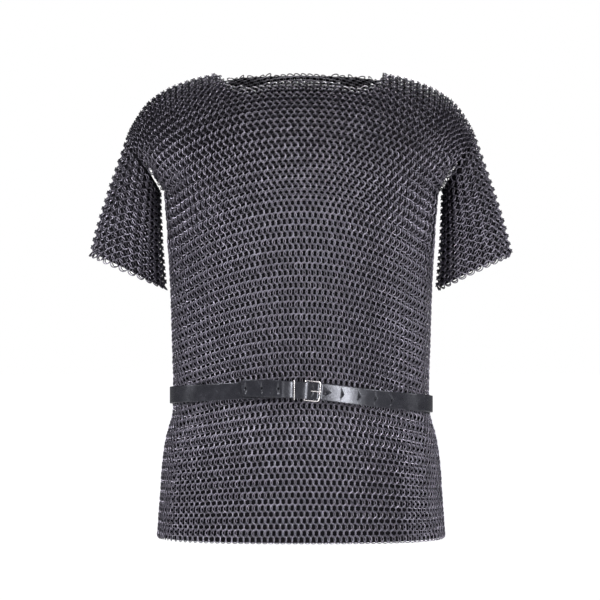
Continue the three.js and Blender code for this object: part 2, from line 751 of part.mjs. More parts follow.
const mailMaterial = () => new THREE.MeshStandardMaterial({
  color: 0x3d3c42, roughness: 0.45, metalness: 0.9,
});
const steelMaterial = () => new THREE.MeshStandardMaterial({
  color: 0xb4b4ba, roughness: 0.3, metalness: 1,
});
const leatherMaterial = () => new THREE.MeshStandardMaterial({
  color: 0x141418, roughness: 0.42, metalness: 0,
});

const { frame, prong } = bucklePieces();
addMesh('front', panel('front'), mailMaterial());
addMesh('back', panel('back'), mailMaterial());
addMesh('sleeve_left', sleeve(-1), mailMaterial());
addMesh('sleeve_right', sleeve(1), mailMaterial());
addMesh('belt_strap', punchedStrap(), leatherMaterial());
addMesh('buckle_frame', frame, steelMaterial());
addMesh('buckle_prong', prong, steelMaterial());
addMesh('keeper', keeperGeometry(), steelMaterial());

export default hauberk;
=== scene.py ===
# %% [markdown]
# # A mail shirt with its belt
# Mail is a fabric of steel rings: every ring passes through four others, two in the row above it
# and two in the row below. This shirt has about twelve and a half thousand of them. It is hollow and open
# at the neck, the hem and the cuffs, and a plain leather belt closes it at the waist.
#
# The CAD model gives the form of the cloth as smooth walls. Here each wall is replaced by real
# rings, and the belt and its wire buckle get rounded edges and their finish. Sizes are written in
# millimetres, and become metres when a mesh is made.

# %% The frame
import math

import bmesh
import bpy
import numpy as np
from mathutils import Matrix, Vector


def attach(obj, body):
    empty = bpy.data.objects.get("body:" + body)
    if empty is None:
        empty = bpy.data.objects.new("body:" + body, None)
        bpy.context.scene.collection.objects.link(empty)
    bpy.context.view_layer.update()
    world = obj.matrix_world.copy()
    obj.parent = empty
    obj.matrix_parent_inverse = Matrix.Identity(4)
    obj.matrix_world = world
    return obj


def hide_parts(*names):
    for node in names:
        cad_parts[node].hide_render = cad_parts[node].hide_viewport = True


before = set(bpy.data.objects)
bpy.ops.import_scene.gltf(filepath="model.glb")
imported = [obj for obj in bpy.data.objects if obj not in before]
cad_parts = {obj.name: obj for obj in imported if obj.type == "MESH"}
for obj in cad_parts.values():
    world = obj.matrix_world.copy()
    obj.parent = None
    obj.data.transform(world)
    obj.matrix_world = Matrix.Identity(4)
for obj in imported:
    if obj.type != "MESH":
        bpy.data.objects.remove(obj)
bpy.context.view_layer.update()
MM = 0.001
print("CAD nodes:", ", ".join(sorted(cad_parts)))

# %% [markdown]
# ## Studio
# The shirt hangs at shoulder height over a pale floor, as if it were worn. A long lens from a few
# metres away keeps its outline almost free of perspective. Metal shows what surrounds it, so the
# light comes from large soft panels: their reflections draw a bright line on every ring, and the
# dark gaps between the panels give each ring its shaded side.

# %% Camera
scene = bpy.context.scene
CAMERA_PLACE = (-0.0017, -3.2, -0.329)
LENS = 132.4
camera_data = bpy.data.cameras.new("camera")
camera_data.lens = LENS
camera = bpy.data.objects.new("camera", camera_data)
camera.location = CAMERA_PLACE
camera.rotation_euler = (math.radians(90), 0, 0)
scene.collection.objects.link(camera)
scene.camera = camera
scene.view_settings.view_transform = "Standard"
print("camera at", CAMERA_PLACE)

# %% Floor and surroundings
FLOOR_Z = -1.45
FLOOR_RADIUS = 30.0


def node(tree, kind, inputs=(), **settings):
    """Add a node, set its options, and set or link its inputs by name or number."""
    made = tree.nodes.new(kind)
    for option, value in settings.items():
        setattr(made, option, value)
    for key, value in dict(inputs).items():
        if isinstance(value, bpy.types.NodeSocket):
            tree.links.new(value, made.inputs[key])
        else:
            made.inputs[key].default_value = value
    return made


def studio_floor():
    mesh = bpy.data.meshes.new("floor")
    steps = 64
    turns = [2 * math.pi * i / steps for i in range(steps)]
    rim = [(FLOOR_RADIUS * math.cos(t), FLOOR_RADIUS * math.sin(t), FLOOR_Z) for t in turns]
    mesh.from_pydata(rim, [], [list(range(steps))])
    floor = bpy.data.objects.new("floor", mesh)
    scene.collection.objects.link(floor)
    paint = bpy.data.materials.new("pale floor")
    paint.use_nodes = True
    tree = paint.node_tree
    shader = tree.nodes["Principled BSDF"]
    shader.inputs["Base Color"].default_value = (0.9, 0.9, 0.9, 1)
    shader.inputs["Roughness"].default_value = 0.9
    shader.inputs["Emission Strength"].default_value = 1.0
    place = node(tree, "ShaderNodeTexCoord")
    far = node(tree, "ShaderNodeVectorMath", {0: place.outputs["Object"]}, operation="LENGTH")
    glow = node(tree, "ShaderNodeMapRange",
                {"Value": far.outputs["Value"], "From Min": 1.5, "From Max": 7.0,
                 "To Min": 0.6, "To Max": 1.0})
    colour = node(tree, "ShaderNodeCombineColor",
                  {k: glow.outputs["Result"] for k in ("Red", "Green", "Blue")})
    tree.links.new(colour.outputs["Color"], shader.inputs["Emission Color"])
    path = node(tree, "ShaderNodeLightPath")
    strength = node(tree, "ShaderNodeMapRange",
                    {"Value": path.outputs["Is Camera Ray"], "To Min": 0.12, "To Max": 1.0})
    tree.links.new(strength.outputs["Result"], shader.inputs["Emission Strength"])
    mesh.materials.append(paint)
    return floor


def pale_surroundings():
    world = bpy.data.worlds.new("pale room")
    world.use_nodes = True
    tree = world.node_tree
    tree.nodes.clear()
    path = node(tree, "ShaderNodeLightPath")
    seen = node(tree, "ShaderNodeBackground", {"Color": (1, 1, 1, 1), "Strength": 1.0})
    lit = node(tree, "ShaderNodeBackground", {"Color": (0.9, 0.93, 1.0, 1), "Strength": 0.1})
    both = node(tree, "ShaderNodeMixShader",
                {0: path.outputs["Is Camera Ray"], 1: lit.outputs[0], 2: seen.outputs[0]})
    node(tree, "ShaderNodeOutputWorld", {"Surface": both.outputs[0]})
    scene.world = world
    return world


studio_floor()
pale_surroundings()

# %% Soft panels
PANELS = (
    {"name": "high left", "place": (-1.8, -1.9, 1.0), "size": (0.8, 0.8), "power": 74},
    {"name": "high right", "place": (1.8, -1.9, 1.0), "size": (0.8, 0.8), "power": 66},
    {"name": "low right", "place": (0.86, -2.9, -0.42), "size": (0.36, 0.6), "power": 30},
    {"name": "side left", "place": (-2.6, -0.3, 0.3), "size": (0.6, 1.0), "power": 20},
    {"name": "side right", "place": (2.6, -0.3, 0.3), "size": (0.6, 1.0), "power": 18},
    {"name": "behind", "place": (0.3, 2.6, 1.1), "size": (1.4, 1.2), "power": 90},
)
AIM = Vector((0, 0, -0.35))


def soft_panel(name, place, size, power):
    light = bpy.data.lights.new(name, "AREA")
    light.shape = "RECTANGLE"
    light.size, light.size_y = size
    light.energy = power
    panel = bpy.data.objects.new(name, light)
    panel.location = place
    panel.rotation_euler = (AIM - Vector(place)).to_track_quat("-Z", "Y").to_euler()
    scene.collection.objects.link(panel)
    return panel


for row in PANELS:
    soft_panel(**row)
print(len(PANELS), "soft panels")

# %% [markdown]
# ## The form of the cloth
# A mail shirt is cut as two straight pieces: a tube of rings for the body, and over it a
# cross-piece that runs from cuff to cuff across the shoulders. So a place on the cloth has an
# address: its column, counted from the middle of the front or back (34 at the side seam, 50 at
# the cuff), and how far it is up that column. The tables below are the same as the CAD model's,
# so the rings lie just inside the outer face of the walls that they replace.

# %% Sizes of the shirt
HEM_Z = -671.0
ARMPIT_Z = -172.0
SIDE_COLUMN = 34
NECK_COLUMN = 14.3
CUFF_COLUMN = 50

BODY = [
    {"z": HEM_Z, "half": 209, "front": 116, "back": 118, "square": 2.4},
    {"z": -615, "half": 205, "front": 114, "back": 116, "square": 2.4},
    {"z": -560, "half": 201, "front": 112, "back": 114, "square": 2.4},
    {"z": -525, "half": 195.5, "front": 109, "back": 111, "square": 2.4},
    {"z": -505, "half": 190, "front": 106.5, "back": 107, "square": 2.4},
    {"z": -490, "half": 186.5, "front": 105, "back": 104.5, "square": 2.4},
    {"z": -452, "half": 185.5, "front": 105.5, "back": 104.5, "square": 2.4},
    {"z": -390, "half": 187.5, "front": 112, "back": 110, "square": 2.4},
    {"z": -315, "half": 190, "front": 121, "back": 118, "square": 2.5},
    {"z": -240, "half": 194, "front": 130, "back": 126, "square": 2.7},
    {"z": ARMPIT_Z, "half": 199, "front": 134, "back": 131, "square": 2.9},
]
RIDGE = [
    {"column": NECK_COLUMN, "x": 122, "z": 0},
    {"column": 18.5, "x": 160, "z": -9},
    {"column": 22.3, "x": 192, "z": -21},
    {"column": 26.6, "x": 222, "z": -42},
    {"column": 30.4, "x": 242, "z": -70},
    {"column": 34, "x": 255, "z": -97},
    {"column": 38, "x": 271, "z": -141},
    {"column": 42, "x": 285, "z": -182},
    {"column": 46, "x": 298, "z": -224},
    {"column": 50, "x": 308, "z": -265},
]
SLEEVE = [
    {"column": 34, "x": 203, "z": ARMPIT_Z, "bulge": 68},
    {"column": 42, "x": 200, "z": -243, "bulge": 64},
    {"column": 50, "x": 194, "z": -314, "bulge": 58},
]
THROAT = [
    {"column": 0, "z": -11},
    {"column": 5, "z": -16},
    {"column": 9.5, "z": -24},
    {"column": 12.4, "z": -16},
    {"column": NECK_COLUMN, "z": 0},
]
NAPE = [
    {"column": 0, "z": 12},
    {"column": 9.5, "z": 8},
    {"column": NECK_COLUMN, "z": 0},
]
NAPE_RISE = 26
CENTRE_ROUND = 0.8
ARMHOLE_ROUND = 2

FOLDS = [
    {"face": "front", "side": 0, "column": 31, "spread": 2.2, "top": -110, "foot": -240, "depth": -7},
    {"face": "front", "side": 0, "column": 26, "spread": 2.4, "top": -120, "foot": -300, "depth": 4},
    {"face": "front", "side": -1, "column": 20, "spread": 2.6, "top": -230, "foot": -440, "depth": -3.5},
    {"face": "front", "side": 1, "column": 22, "spread": 2.8, "top": -200, "foot": -430, "depth": -3},
    {"face": "front", "side": 0, "column": 0, "spread": 1.9, "top": -230, "foot": -440, "depth": 2.5},
    {"face": "front", "side": -1, "column": 25, "spread": 2.5, "top": -506, "foot": -690, "depth": 4},
    {"face": "front", "side": -1, "column": 15, "spread": 3, "top": -506, "foot": -670, "depth": -3.5},
    {"face": "front", "side": 1, "column": 19, "spread": 3, "top": -506, "foot": -690, "depth": 3.5},
    {"face": "front", "side": 1, "column": 28, "spread": 2.4, "top": -506, "foot": -660, "depth": -4},
    {"face": "back", "side": 0, "column": 31, "spread": 2.3, "top": -110, "foot": -250, "depth": -7},
    {"face": "back", "side": -1, "column": 22, "spread": 3, "top": -200, "foot": -450, "depth": 4},
    {"face": "back", "side": 1, "column": 24, "spread": 2.6, "top": -180, "foot": -440, "depth": 3.5},
    {"face": "back", "side": -1, "column": 8, "spread": 3, "top": -260, "foot": -450, "depth": -4},
    {"face": "back", "side": 1, "column": 12, "spread": 3.2, "top": -506, "foot": -690, "depth": 4.5},
    {"face": "back", "side": -1, "column": 18, "spread": 3, "top": -506, "foot": -690, "depth": 4},
]
print("body", 2 * BODY[0]["half"], "mm wide at the hem,", HEM_Z, "to the shoulder")


# %% Reading the tables
def read(table, key, column, at):
    """Values of a column of a table, on a curve that runs smoothly through its rows."""
    rows = sorted(table, key=lambda entry: entry[key])
    keys = np.array([entry[key] for entry in rows], float)
    values = np.array([entry[column] for entry in rows], float)
    at = np.clip(at, keys[0], keys[-1])
    low = np.clip(np.searchsorted(keys, at, side="right") - 1, 0, len(keys) - 2)
    before, after = np.maximum(low - 1, 0), np.minimum(low + 2, len(keys) - 1)
    span = keys[low + 1] - keys[low]
    share = (at - keys[low]) / span
    slope_low = (values[low + 1] - values[before]) / (keys[low + 1] - keys[before])
    slope_high = (values[after] - values[low]) / (keys[after] - keys[low])
    return (
        values[low] * (1 + 2 * share) * (1 - share) ** 2
        + values[low + 1] * share**2 * (3 - 2 * share)
        + span * slope_low * share * (1 - share) ** 2
        - span * slope_high * share**2 * (1 - share)
    )


def smooth(value):
    value = np.clip(value, 0, 1)
    return value**2 * (3 - 2 * value)


def mix(start, end, share):
    return start + (end - start) * share


# %% Round the body, and up to the shoulder
ARC_STEPS = 180
TUBE_STEPS = 80
COLUMN_STEP = 0.25
QUARTER_TURN = np.linspace(0, math.pi / 2, ARC_STEPS + 1)


def lengths(points):
    """Distance along a line of points, from its first."""
    return np.concatenate([[0], np.cumsum(np.linalg.norm(np.diff(points, axis=0), axis=1))])


def round_body(face, columns, z):
    """Places on the tube at one height, with x to the side and y away from the middle."""
    half, reach = read(BODY, "z", "half", z), read(BODY, "z", face, z)
    power = 2 / read(BODY, "z", "square", z)

    def curve(turn):
        return np.stack([half * np.sin(turn) ** power,
                         reach * np.maximum(0, np.cos(turn)) ** power,
                         np.full_like(turn, z)], axis=-1)

    points = curve(QUARTER_TURN)
    length = lengths(points)
    goal = np.asarray(columns) / SIDE_COLUMN * length[-1]
    return np.stack([np.interp(goal, length, points[:, k]) for k in range(3)], axis=-1)


def up_shoulder(face, column):
    """A column from armpit height to the ridge of the shoulder. Past 34 it is half a loop of sleeve."""
    if column > SIDE_COLUMN:
        start = np.array([read(SLEEVE, "column", "x", column), 0, read(SLEEVE, "column", "z", column)])
    else:
        start = round_body(face, np.array([column]), ARMPIT_Z)[0]
    neck_share = min(1, column / NECK_COLUMN)
    end_x = read(RIDGE, "column", "x", column) * neck_share
    nape = NAPE_RISE * (1 - neck_share**2) if face == "back" else 0
    end_z = read(RIDGE, "column", "z", column) + nape
    outward = smooth((column - NECK_COLUMN) / (SIDE_COLUMN - NECK_COLUMN))
    roundness = mix(CENTRE_ROUND, ARMHOLE_ROUND, outward)
    bulge = read(SLEEVE, "column", "bulge", max(column, SIDE_COLUMN)) * outward
    up = np.sin(QUARTER_TURN) ** roundness
    y = (start[1] * np.maximum(0, np.cos(QUARTER_TURN)) ** roundness
         + bulge * np.sin(2 * QUARTER_TURN))
    return np.stack([mix(start[0], end_x, up), y, mix(start[2], end_z, up)], axis=-1)


def face_surface(face):
    """The form of a whole face as two grids of places: the tube, and what lies above the armpits."""
    heights = np.linspace(HEM_Z, ARMPIT_Z, TUBE_STEPS + 1)[:-1]
    body_columns = np.arange(0, SIDE_COLUMN + COLUMN_STEP / 2, COLUMN_STEP)
    all_columns = np.arange(0, CUFF_COLUMN + COLUMN_STEP / 2, COLUMN_STEP)
    tube = np.stack([round_body(face, body_columns, z) for z in heights], axis=1)
    shoulder = np.stack([up_shoulder(face, column) for column in all_columns])
    return tube, shoulder


SURFACE = {face: face_surface(face) for face in ("front", "back")}
print("chest column is", round(lengths(SURFACE["front"][1][80])[-1]), "mm long above the armpits")

# %% [markdown]
# ## The weave
# The rings lie in rows. Each row is offset by half a ring from the next one, and its rings lean
# the other way, which is what makes the herringbone look of mail. Down the body the rows sag: a
# tube of mail hangs from the shoulders, so a row is highest at the middle of the chest. Above
# armpit height the rows follow the cross-piece over the shoulder and along the sleeve.
#
# The rings could be scattered over the surface, but then they would not link. Their places are
# worked out instead, row by row, and each place stores the direction of its ring's axis. A ring
# holds its four neighbours only if it leans enough for their wires to pass, and it leans further
# where the rows are pushed together.

# %% Ring sizes and counts
RING_RADIUS = 5.8            # to the middle of the wire
WIRE = 1.6
RING_OUTSIDE = RING_RADIUS + WIRE / 2
WEAVE_DEPTH = 3.3            # from the outer face of the wall to the middle of the rings
RINGS_TO_SIDE = 31.25        # rings between the middle of the front and the side seam
RINGS_TO_CUFF = 45.5
SHOULDER_ROWS = 26
ROW_SAG = 70.0               # how much higher a row is at mid chest than at the armpits
HANGING_PITCH = 8.95         # from row to row where the mail hangs
CHEST_PITCH = 7.3            # and where it lies on the chest
RIM_CLEAR = 5.2              # from the neck's edge to the middle of its nearest rings
RANDOM_SEED = 11

# How much the columns gather at the middle of the front and back: less than nothing spreads them.
GATHER = [
    {"z": HEM_Z, "share": 0.0},
    {"z": -500, "share": 0.0},
    {"z": -400, "share": 0.04},
    {"z": -300, "share": 0.09},
    {"z": -200, "share": 0.09},
    {"z": -126, "share": 0.03},
    {"z": -80, "share": -0.05},
    {"z": 0, "share": -0.08},
]


def column_of(ring, z):
    """The column of the shirt that a ring lies in. It drifts a little on the way up."""
    share = ring / RINGS_TO_SIDE
    drift = read(GATHER, "z", "share", z) * np.maximum(0, 1 - share**2)
    return SIDE_COLUMN * share * (1 - drift)


def ring_line(face, ring):
    """A line of rings from the hem, or from the underside of the sleeve, to the ridge."""
    tube, shoulder = SURFACE[face]
    parts = [shoulder] if ring > RINGS_TO_SIDE else [tube, shoulder]
    line = []
    for part in parts:
        nearest = min(round(ring * SIDE_COLUMN / RINGS_TO_SIDE / COLUMN_STEP), len(part) - 1)
        column = column_of(ring, part[nearest, :, 2]) / COLUMN_STEP
        low = np.clip(np.floor(column).astype(int), 0, len(part) - 2)
        station = np.arange(part.shape[1])
        line.append(mix(part[low, station], part[low + 1, station], (column - low)[:, None]))
    return np.concatenate(line)


# %% Heights of the rows
def row_sag(side_z):
    share = np.clip((side_z - HEM_Z) / (ARMPIT_Z - HEM_Z), 0, 1)
    return ROW_SAG * (1 - (1 - share) ** 1.7)


def tube_row_heights():
    """The height of each body row at the side seam, spaced by the weave's pitch at mid chest."""
    side = np.linspace(HEM_Z, ARMPIT_Z, 800)
    middle = side + row_sag(side)
    pitch = mix(HANGING_PITCH, CHEST_PITCH, smooth((middle + 205) / 25))
    count = np.concatenate([[0], np.cumsum(np.diff(middle) / pitch[1:])])
    count -= np.interp(HEM_Z + RING_OUTSIDE, middle, count)
    rows = round(count[-1] + 0.5)
    count *= (rows - 0.5) / count[-1]
    return np.interp(np.arange(rows), count, side)


TUBE_SIDE_Z = tube_row_heights()
TUBE_ROWS = len(TUBE_SIDE_Z)
print(TUBE_ROWS, "rows round the body,", SHOULDER_ROWS, "more up to each side of the ridge")


def shoulder_share(share, ring):
    """Rows near the neck gather towards the chest, where the cross-piece is pulled level."""
    gather = 0.2 * max(0.0, 1 - (column_of(ring, 0) / NECK_COLUMN) ** 2)
    low = share * (1 + gather * share)
    high = 1 - (1 - share) * (1 - gather * share)
    return np.where(share <= 0.5, low, high)


def row_distances(ring, line, along):
    """How far up its line each row lies, the rows of the tube first."""
    heights = []
    start = 0.0
    if ring <= RINGS_TO_SIDE:
        side_z = np.append(TUBE_SIDE_Z, ARMPIT_Z)
        wide = np.interp(side_z, line[:, 2], line[:, 0]) / read(BODY, "z", "half", side_z)
        heights = side_z + row_sag(side_z) * (1 - wide**2)
        start = np.interp(heights[-1], line[:, 2], along)
    share = (np.arange(SHOULDER_ROWS) + 0.5) / SHOULDER_ROWS
    upper = start + (along[-1] - start) * shoulder_share(share, ring)
    return np.concatenate([np.interp(heights[:-1], line[:, 2], along), upper])


def places_along(line, along, distance):
    return np.stack([np.interp(distance, along, line[:, k]) for k in range(3)], axis=-1)


def ring_places(face, ring):
    """Places of all rows in one line of rings."""
    line = ring_line(face, ring)
    along = lengths(line)
    return places_along(line, along, row_distances(ring, line, along))


# %% Folds
def fold_depth(face, across, z):
    """How far the folds push the cloth out at a place. across is negative to the left."""
    depth = np.zeros_like(z)
    for fold in FOLDS:
        if fold["face"] != face:
            continue
        spread = np.exp(-(((np.abs(across) - fold["column"]) / fold["spread"]) ** 2))
        rise = np.clip((z - fold["foot"]) / (fold["top"] - fold["foot"]), 0, 1)
        here = np.ones_like(across) if fold["side"] == 0 else (np.sign(across) == fold["side"])
        depth += fold["depth"] * spread * np.sin(math.pi * rise) ** 0.7 * here
    return depth


def armpit_creases(across, z):
    """Where the arm hangs, the rows bunch into short ridges that fan out from the armpit."""
    near = np.exp(-(((np.abs(across) - 31.5) / 4.2) ** 2) - ((z + 158) / 34) ** 2)
    fan = z + 2.3 * (34 - np.abs(across))
    return 2.1 * near * np.sin(2 * math.pi * fan / 17)


# %% Grids of places
def directions(places, loop=False):
    """Unit vectors up and across a grid, and the steps between its places."""
    def step(axis):
        if loop and axis == 0:
            return (np.roll(places, -1, axis=0) - np.roll(places, 1, axis=0)) / 2
        return np.gradient(places, axis=axis)

    up, across = step(0), step(1)
    up_size = np.linalg.norm(up, axis=-1, keepdims=True)
    across_size = np.linalg.norm(across, axis=-1, keepdims=True)
    return up / up_size, across / across_size, up_size[..., 0], across_size[..., 0]


def face_grid(face):
    """All places of the front or back, at half-ring steps: rows up, from left to right."""
    half_steps = np.arange(0, 2 * int(RINGS_TO_SIDE) + 1) / 2
    right = np.stack([ring_places(face, ring) for ring in half_steps], axis=1)
    left = right[:, :0:-1] * np.array([-1, 1, 1])
    places = np.concatenate([left, right], axis=1)
    if face == "front":
        places[..., 1] *= -1
    return places, np.concatenate([-half_steps[:0:-1], half_steps])


def outward_of(face, up, across):
    normal = np.cross(across, up)
    normal /= np.linalg.norm(normal, axis=-1, keepdims=True)
    return normal if face == "front" else -normal


def relief(face, rings_across, z):
    """How far the cloth stands off its form: the folds, and the creases by the armpits."""
    across = np.sign(rings_across) * column_of(np.abs(rings_across), z)
    return fold_depth(face, across, z) + armpit_creases(across, z)


def lay_in_wall(places, normal, proud, depth=WEAVE_DEPTH):
    return places + normal * (proud - depth)[..., None]


# %% Axes of the rings
LEAN_NEEDED = 25.5           # degrees, at the usual spacing
LEAN_LEAST, LEAN_MOST = 18.0, 40.0
CROWDED_PITCH = 6.6          # rows closer than this also tip up and down
TIP_MOST = 11.0


def ring_axes(up, across, normal, row_step, ring_step, sign):
    """The ring's plane holds the direction up the column, and leans left or right of the cloth."""
    lean = LEAN_NEEDED + 5 * (8.5 - row_step) - 1.5 * (ring_step - 7.8)
    lean = np.radians(np.clip(lean, LEAN_LEAST, LEAN_MOST))[..., None] * sign[..., None]
    tip = np.radians(np.clip((CROWDED_PITCH - row_step) * 8, 0, TIP_MOST))[..., None]
    tipped = up * np.cos(tip) + normal * np.sin(tip)
    sideways = across * np.cos(lean) + normal * np.sin(lean)
    axis = np.cross(sideways, tipped)
    return axis / np.linalg.norm(axis, axis=-1, keepdims=True)


# %% The rings of a face
def face_rings(face):
    """Place, axis and row of every ring on the front or back."""
    places, ring_across = face_grid(face)
    up, across, _, _ = directions(places)
    normal = outward_of(face, up, across)
    ring_grid = np.broadcast_to(ring_across, places.shape[:2])
    laid = lay_in_wall(places, normal, relief(face, ring_grid, places[..., 2]))
    up, across, row_step, half_step = directions(laid)
    normal = outward_of(face, up, across)
    rows = np.broadcast_to(np.arange(places.shape[0])[:, None], places.shape[:2])
    half_steps = np.round(2 * ring_grid).astype(int)
    taken = (rows + half_steps + (face == "back")) % 2 == 0
    sign = np.where(rows % 2 == 0, 1, -1) * (1 if face == "front" else -1)
    axis = ring_axes(up, across, normal, row_step, 2 * half_step, sign)
    column = column_of(np.abs(ring_grid), places[..., 2])
    edge = read(THROAT if face == "front" else NAPE, "column", "z", column)
    taken &= ~((column < NECK_COLUMN) & (places[..., 2] > edge - RIM_CLEAR))
    return laid[taken], axis[taken], rows[taken], normal[taken]


# %% The rings of a sleeve
def sleeve_loops(side, rings, station):
    """A grid round a sleeve, up the front half of each loop and down the back half."""
    halves = []
    for face in ("front", "back"):
        half = np.stack([station(face, ring) for ring in rings], axis=1)
        half = half * np.array([side, -1 if face == "front" else 1, 1])
        halves.append(half if face == "front" else half[::-1])
    return np.concatenate(halves)


def sleeve_normal(side, up, across):
    normal = np.cross(across, up) * side
    return normal / np.linalg.norm(normal, axis=-1, keepdims=True)


def sleeve_rings(side):
    """The same for a sleeve."""
    half_steps = np.arange(2 * int(RINGS_TO_SIDE) + 1, 2 * RINGS_TO_CUFF + 1) / 2
    places = sleeve_loops(side, half_steps, ring_places)
    up, across, _, _ = directions(places, loop=True)
    laid = lay_in_wall(places, sleeve_normal(side, up, across), np.zeros(places.shape[:2]))
    up, across, row_step, half_step = directions(laid, loop=True)
    normal = sleeve_normal(side, up, across)
    turn = np.arange(2 * SHOULDER_ROWS)
    is_back = turn >= SHOULDER_ROWS
    row = TUBE_ROWS + np.where(is_back, 2 * SHOULDER_ROWS - 1 - turn, turn)
    rows = np.broadcast_to(row[:, None], places.shape[:2])
    backs = np.broadcast_to(is_back[:, None], places.shape[:2])
    taken = (rows + np.round(2 * half_steps).astype(int)[None, :] + backs) % 2 == 0
    sign = np.where(rows % 2 == 0, 1, -1) * np.where(backs, -1, 1)
    axis = ring_axes(up, across * side, normal, row_step, 2 * half_step, sign)
    return laid[taken], axis[taken], rows[taken], normal[taken]


front_rings, back_rings = face_rings("front"), face_rings("back")
left_rings, right_rings = sleeve_rings(-1), sleeve_rings(1)
ring_count = sum(len(part[0]) for part in (front_rings, back_rings, left_rings, right_rings))
print(ring_count, "rings")

# %% [markdown]
# One ring is a triangle swept round a circle and shaded smooth, which is 72 triangles. At the
# size of a ring that reads as round wire, and it lets every ring of the shirt be real. Geometry
# Nodes put it on each place, turn it to its axis with a little unevenness, and give each ring a
# random tone. They also store how squarely each side of the wire faces out of the cloth. The steel
# is made bright where it faces out and stays black on the sides that face inwards. That is partly
# the rubbing of oiled, blackened steel and partly painted shade between the rings.

# %% Ring weave
RING_STEPS = 12
WIRE_SIDES = 3
WIRE_FULLNESS = 1.21         # a triangle this much larger has the section of the round wire
UNEVEN = 0.05


def ring_weave(steel):
    tree = bpy.data.node_groups.new("ring weave", "GeometryNodeTree")
    face = tree.interface
    face.new_socket("Places", in_out="INPUT", socket_type="NodeSocketGeometry")
    for name in ("Ring Radius", "Wire Radius", "Unevenness"):
        face.new_socket(name, in_out="INPUT", socket_type="NodeSocketFloat")
    for name in ("Ring Steps", "Wire Sides", "Seed"):
        face.new_socket(name, in_out="INPUT", socket_type="NodeSocketInt")
    face.new_socket("Rings", in_out="OUTPUT", socket_type="NodeSocketGeometry")
    given = node(tree, "NodeGroupInput").outputs
    circle = node(tree, "GeometryNodeCurvePrimitiveCircle",
                  {"Resolution": given["Ring Steps"], "Radius": given["Ring Radius"]})
    wire = node(tree, "GeometryNodeCurvePrimitiveCircle",
                {"Resolution": given["Wire Sides"], "Radius": given["Wire Radius"]})
    swept = node(tree, "GeometryNodeCurveToMesh",
                 {"Curve": circle.outputs["Curve"], "Profile Curve": wire.outputs["Curve"]})
    ring = node(tree, "GeometryNodeSetShadeSmooth", {"Geometry": swept.outputs["Mesh"]})
    axis = node(tree, "GeometryNodeInputNamedAttribute", {"Name": "ring_axis"},
                data_type="FLOAT_VECTOR")
    lowest = node(tree, "ShaderNodeVectorMath",
                  {0: (-1, -1, -1), "Scale": given["Unevenness"]}, operation="SCALE")
    highest = node(tree, "ShaderNodeVectorMath",
                   {0: (1, 1, 1), "Scale": given["Unevenness"]}, operation="SCALE")
    nudge = node(tree, "FunctionNodeRandomValue",
                 {"Min": lowest.outputs[0], "Max": highest.outputs[0], "Seed": given["Seed"]},
                 data_type="FLOAT_VECTOR")
    turned = node(tree, "ShaderNodeVectorMath",
                  {0: axis.outputs[0], 1: nudge.outputs[0]}, operation="ADD")
    aligned = node(tree, "FunctionNodeAlignRotationToVector", {"Vector": turned.outputs[0]}, axis="Z")
    tone = node(tree, "FunctionNodeRandomValue", {"Seed": given["Seed"]}, data_type="FLOAT")
    toned = node(tree, "GeometryNodeStoreNamedAttribute",
                 {"Geometry": given["Places"], "Name": "ring_tone", "Value": tone.outputs[1]},
                 data_type="FLOAT", domain="POINT")
    placed = node(tree, "GeometryNodeInstanceOnPoints",
                  {"Points": toned.outputs[0], "Instance": ring.outputs[0],
                   "Rotation": aligned.outputs[0]})
    real = node(tree, "GeometryNodeRealizeInstances", {"Geometry": placed.outputs[0]})
    # How squarely the wire faces out of the cloth: brighter outer sides are partly rubbing, and the black
    # inward sides are painted shade between the rings.
    wire_out = node(tree, "GeometryNodeInputNormal")
    cloth_out = node(tree, "GeometryNodeInputNamedAttribute", {"Name": "cloth_out"},
                     data_type="FLOAT_VECTOR")
    facing = node(tree, "ShaderNodeVectorMath",
                  {0: wire_out.outputs[0], 1: cloth_out.outputs[0]}, operation="DOT_PRODUCT")
    worn_and_shaded = node(tree, "GeometryNodeStoreNamedAttribute",
                {"Geometry": real.outputs[0], "Name": "wear_and_shade", "Value": facing.outputs["Value"]},
                data_type="FLOAT", domain="POINT")
    finished = node(tree, "GeometryNodeSetMaterial",
                    {"Geometry": worn_and_shaded.outputs[0], "Material": steel})
    node(tree, "NodeGroupOutput", {"Rings": finished.outputs[0]})
    return tree


def evaluated_mesh(piece, name):
    """The piece's mesh with its modifiers applied, as a plain mesh."""
    graph = bpy.context.evaluated_depsgraph_get()
    mesh = bpy.data.meshes.new_from_object(
        piece.evaluated_get(graph), preserve_all_data_layers=True, depsgraph=graph)
    mesh.name = name
    return mesh


def set_inputs(modifier, values):
    """Set a Geometry Nodes modifier's inputs by the identifiers of their sockets."""
    for item in modifier.node_group.interface.items_tree:
        if item.item_type == "SOCKET" and item.in_out == "INPUT" and item.name in values:
            modifier[item.identifier] = values[item.name]


def woven_piece(name, rings, tree, seed):
    """Put a ring on each place, and keep the result as one plain mesh."""
    places, axes, _, cloth_out = rings
    mesh = bpy.data.meshes.new(name)
    mesh.from_pydata((places * MM).tolist(), [], [])
    stored = mesh.attributes.new("ring_axis", "FLOAT_VECTOR", "POINT")
    stored.data.foreach_set("vector", axes.astype(np.float32).ravel())
    stored = mesh.attributes.new("cloth_out", "FLOAT_VECTOR", "POINT")
    stored.data.foreach_set("vector", cloth_out.astype(np.float32).ravel())
    piece = bpy.data.objects.new(name, mesh)
    scene.collection.objects.link(piece)
    modifier = piece.modifiers.new("weave", "NODES")
    modifier.node_group = tree
    set_inputs(modifier, {
        "Ring Radius": RING_RADIUS * MM,
        "Wire Radius": WIRE / 2 * WIRE_FULLNESS * MM,
        "Unevenness": UNEVEN,
        "Ring Steps": RING_STEPS,
        "Wire Sides": WIRE_SIDES,
        "Seed": seed,
    })
    result = evaluated_mesh(piece, name)
    piece.modifiers.clear()
    piece.data = result
    print(name, len(places), "rings,", sum(len(face.vertices) - 2 for face in result.polygons), "triangles")
    return piece


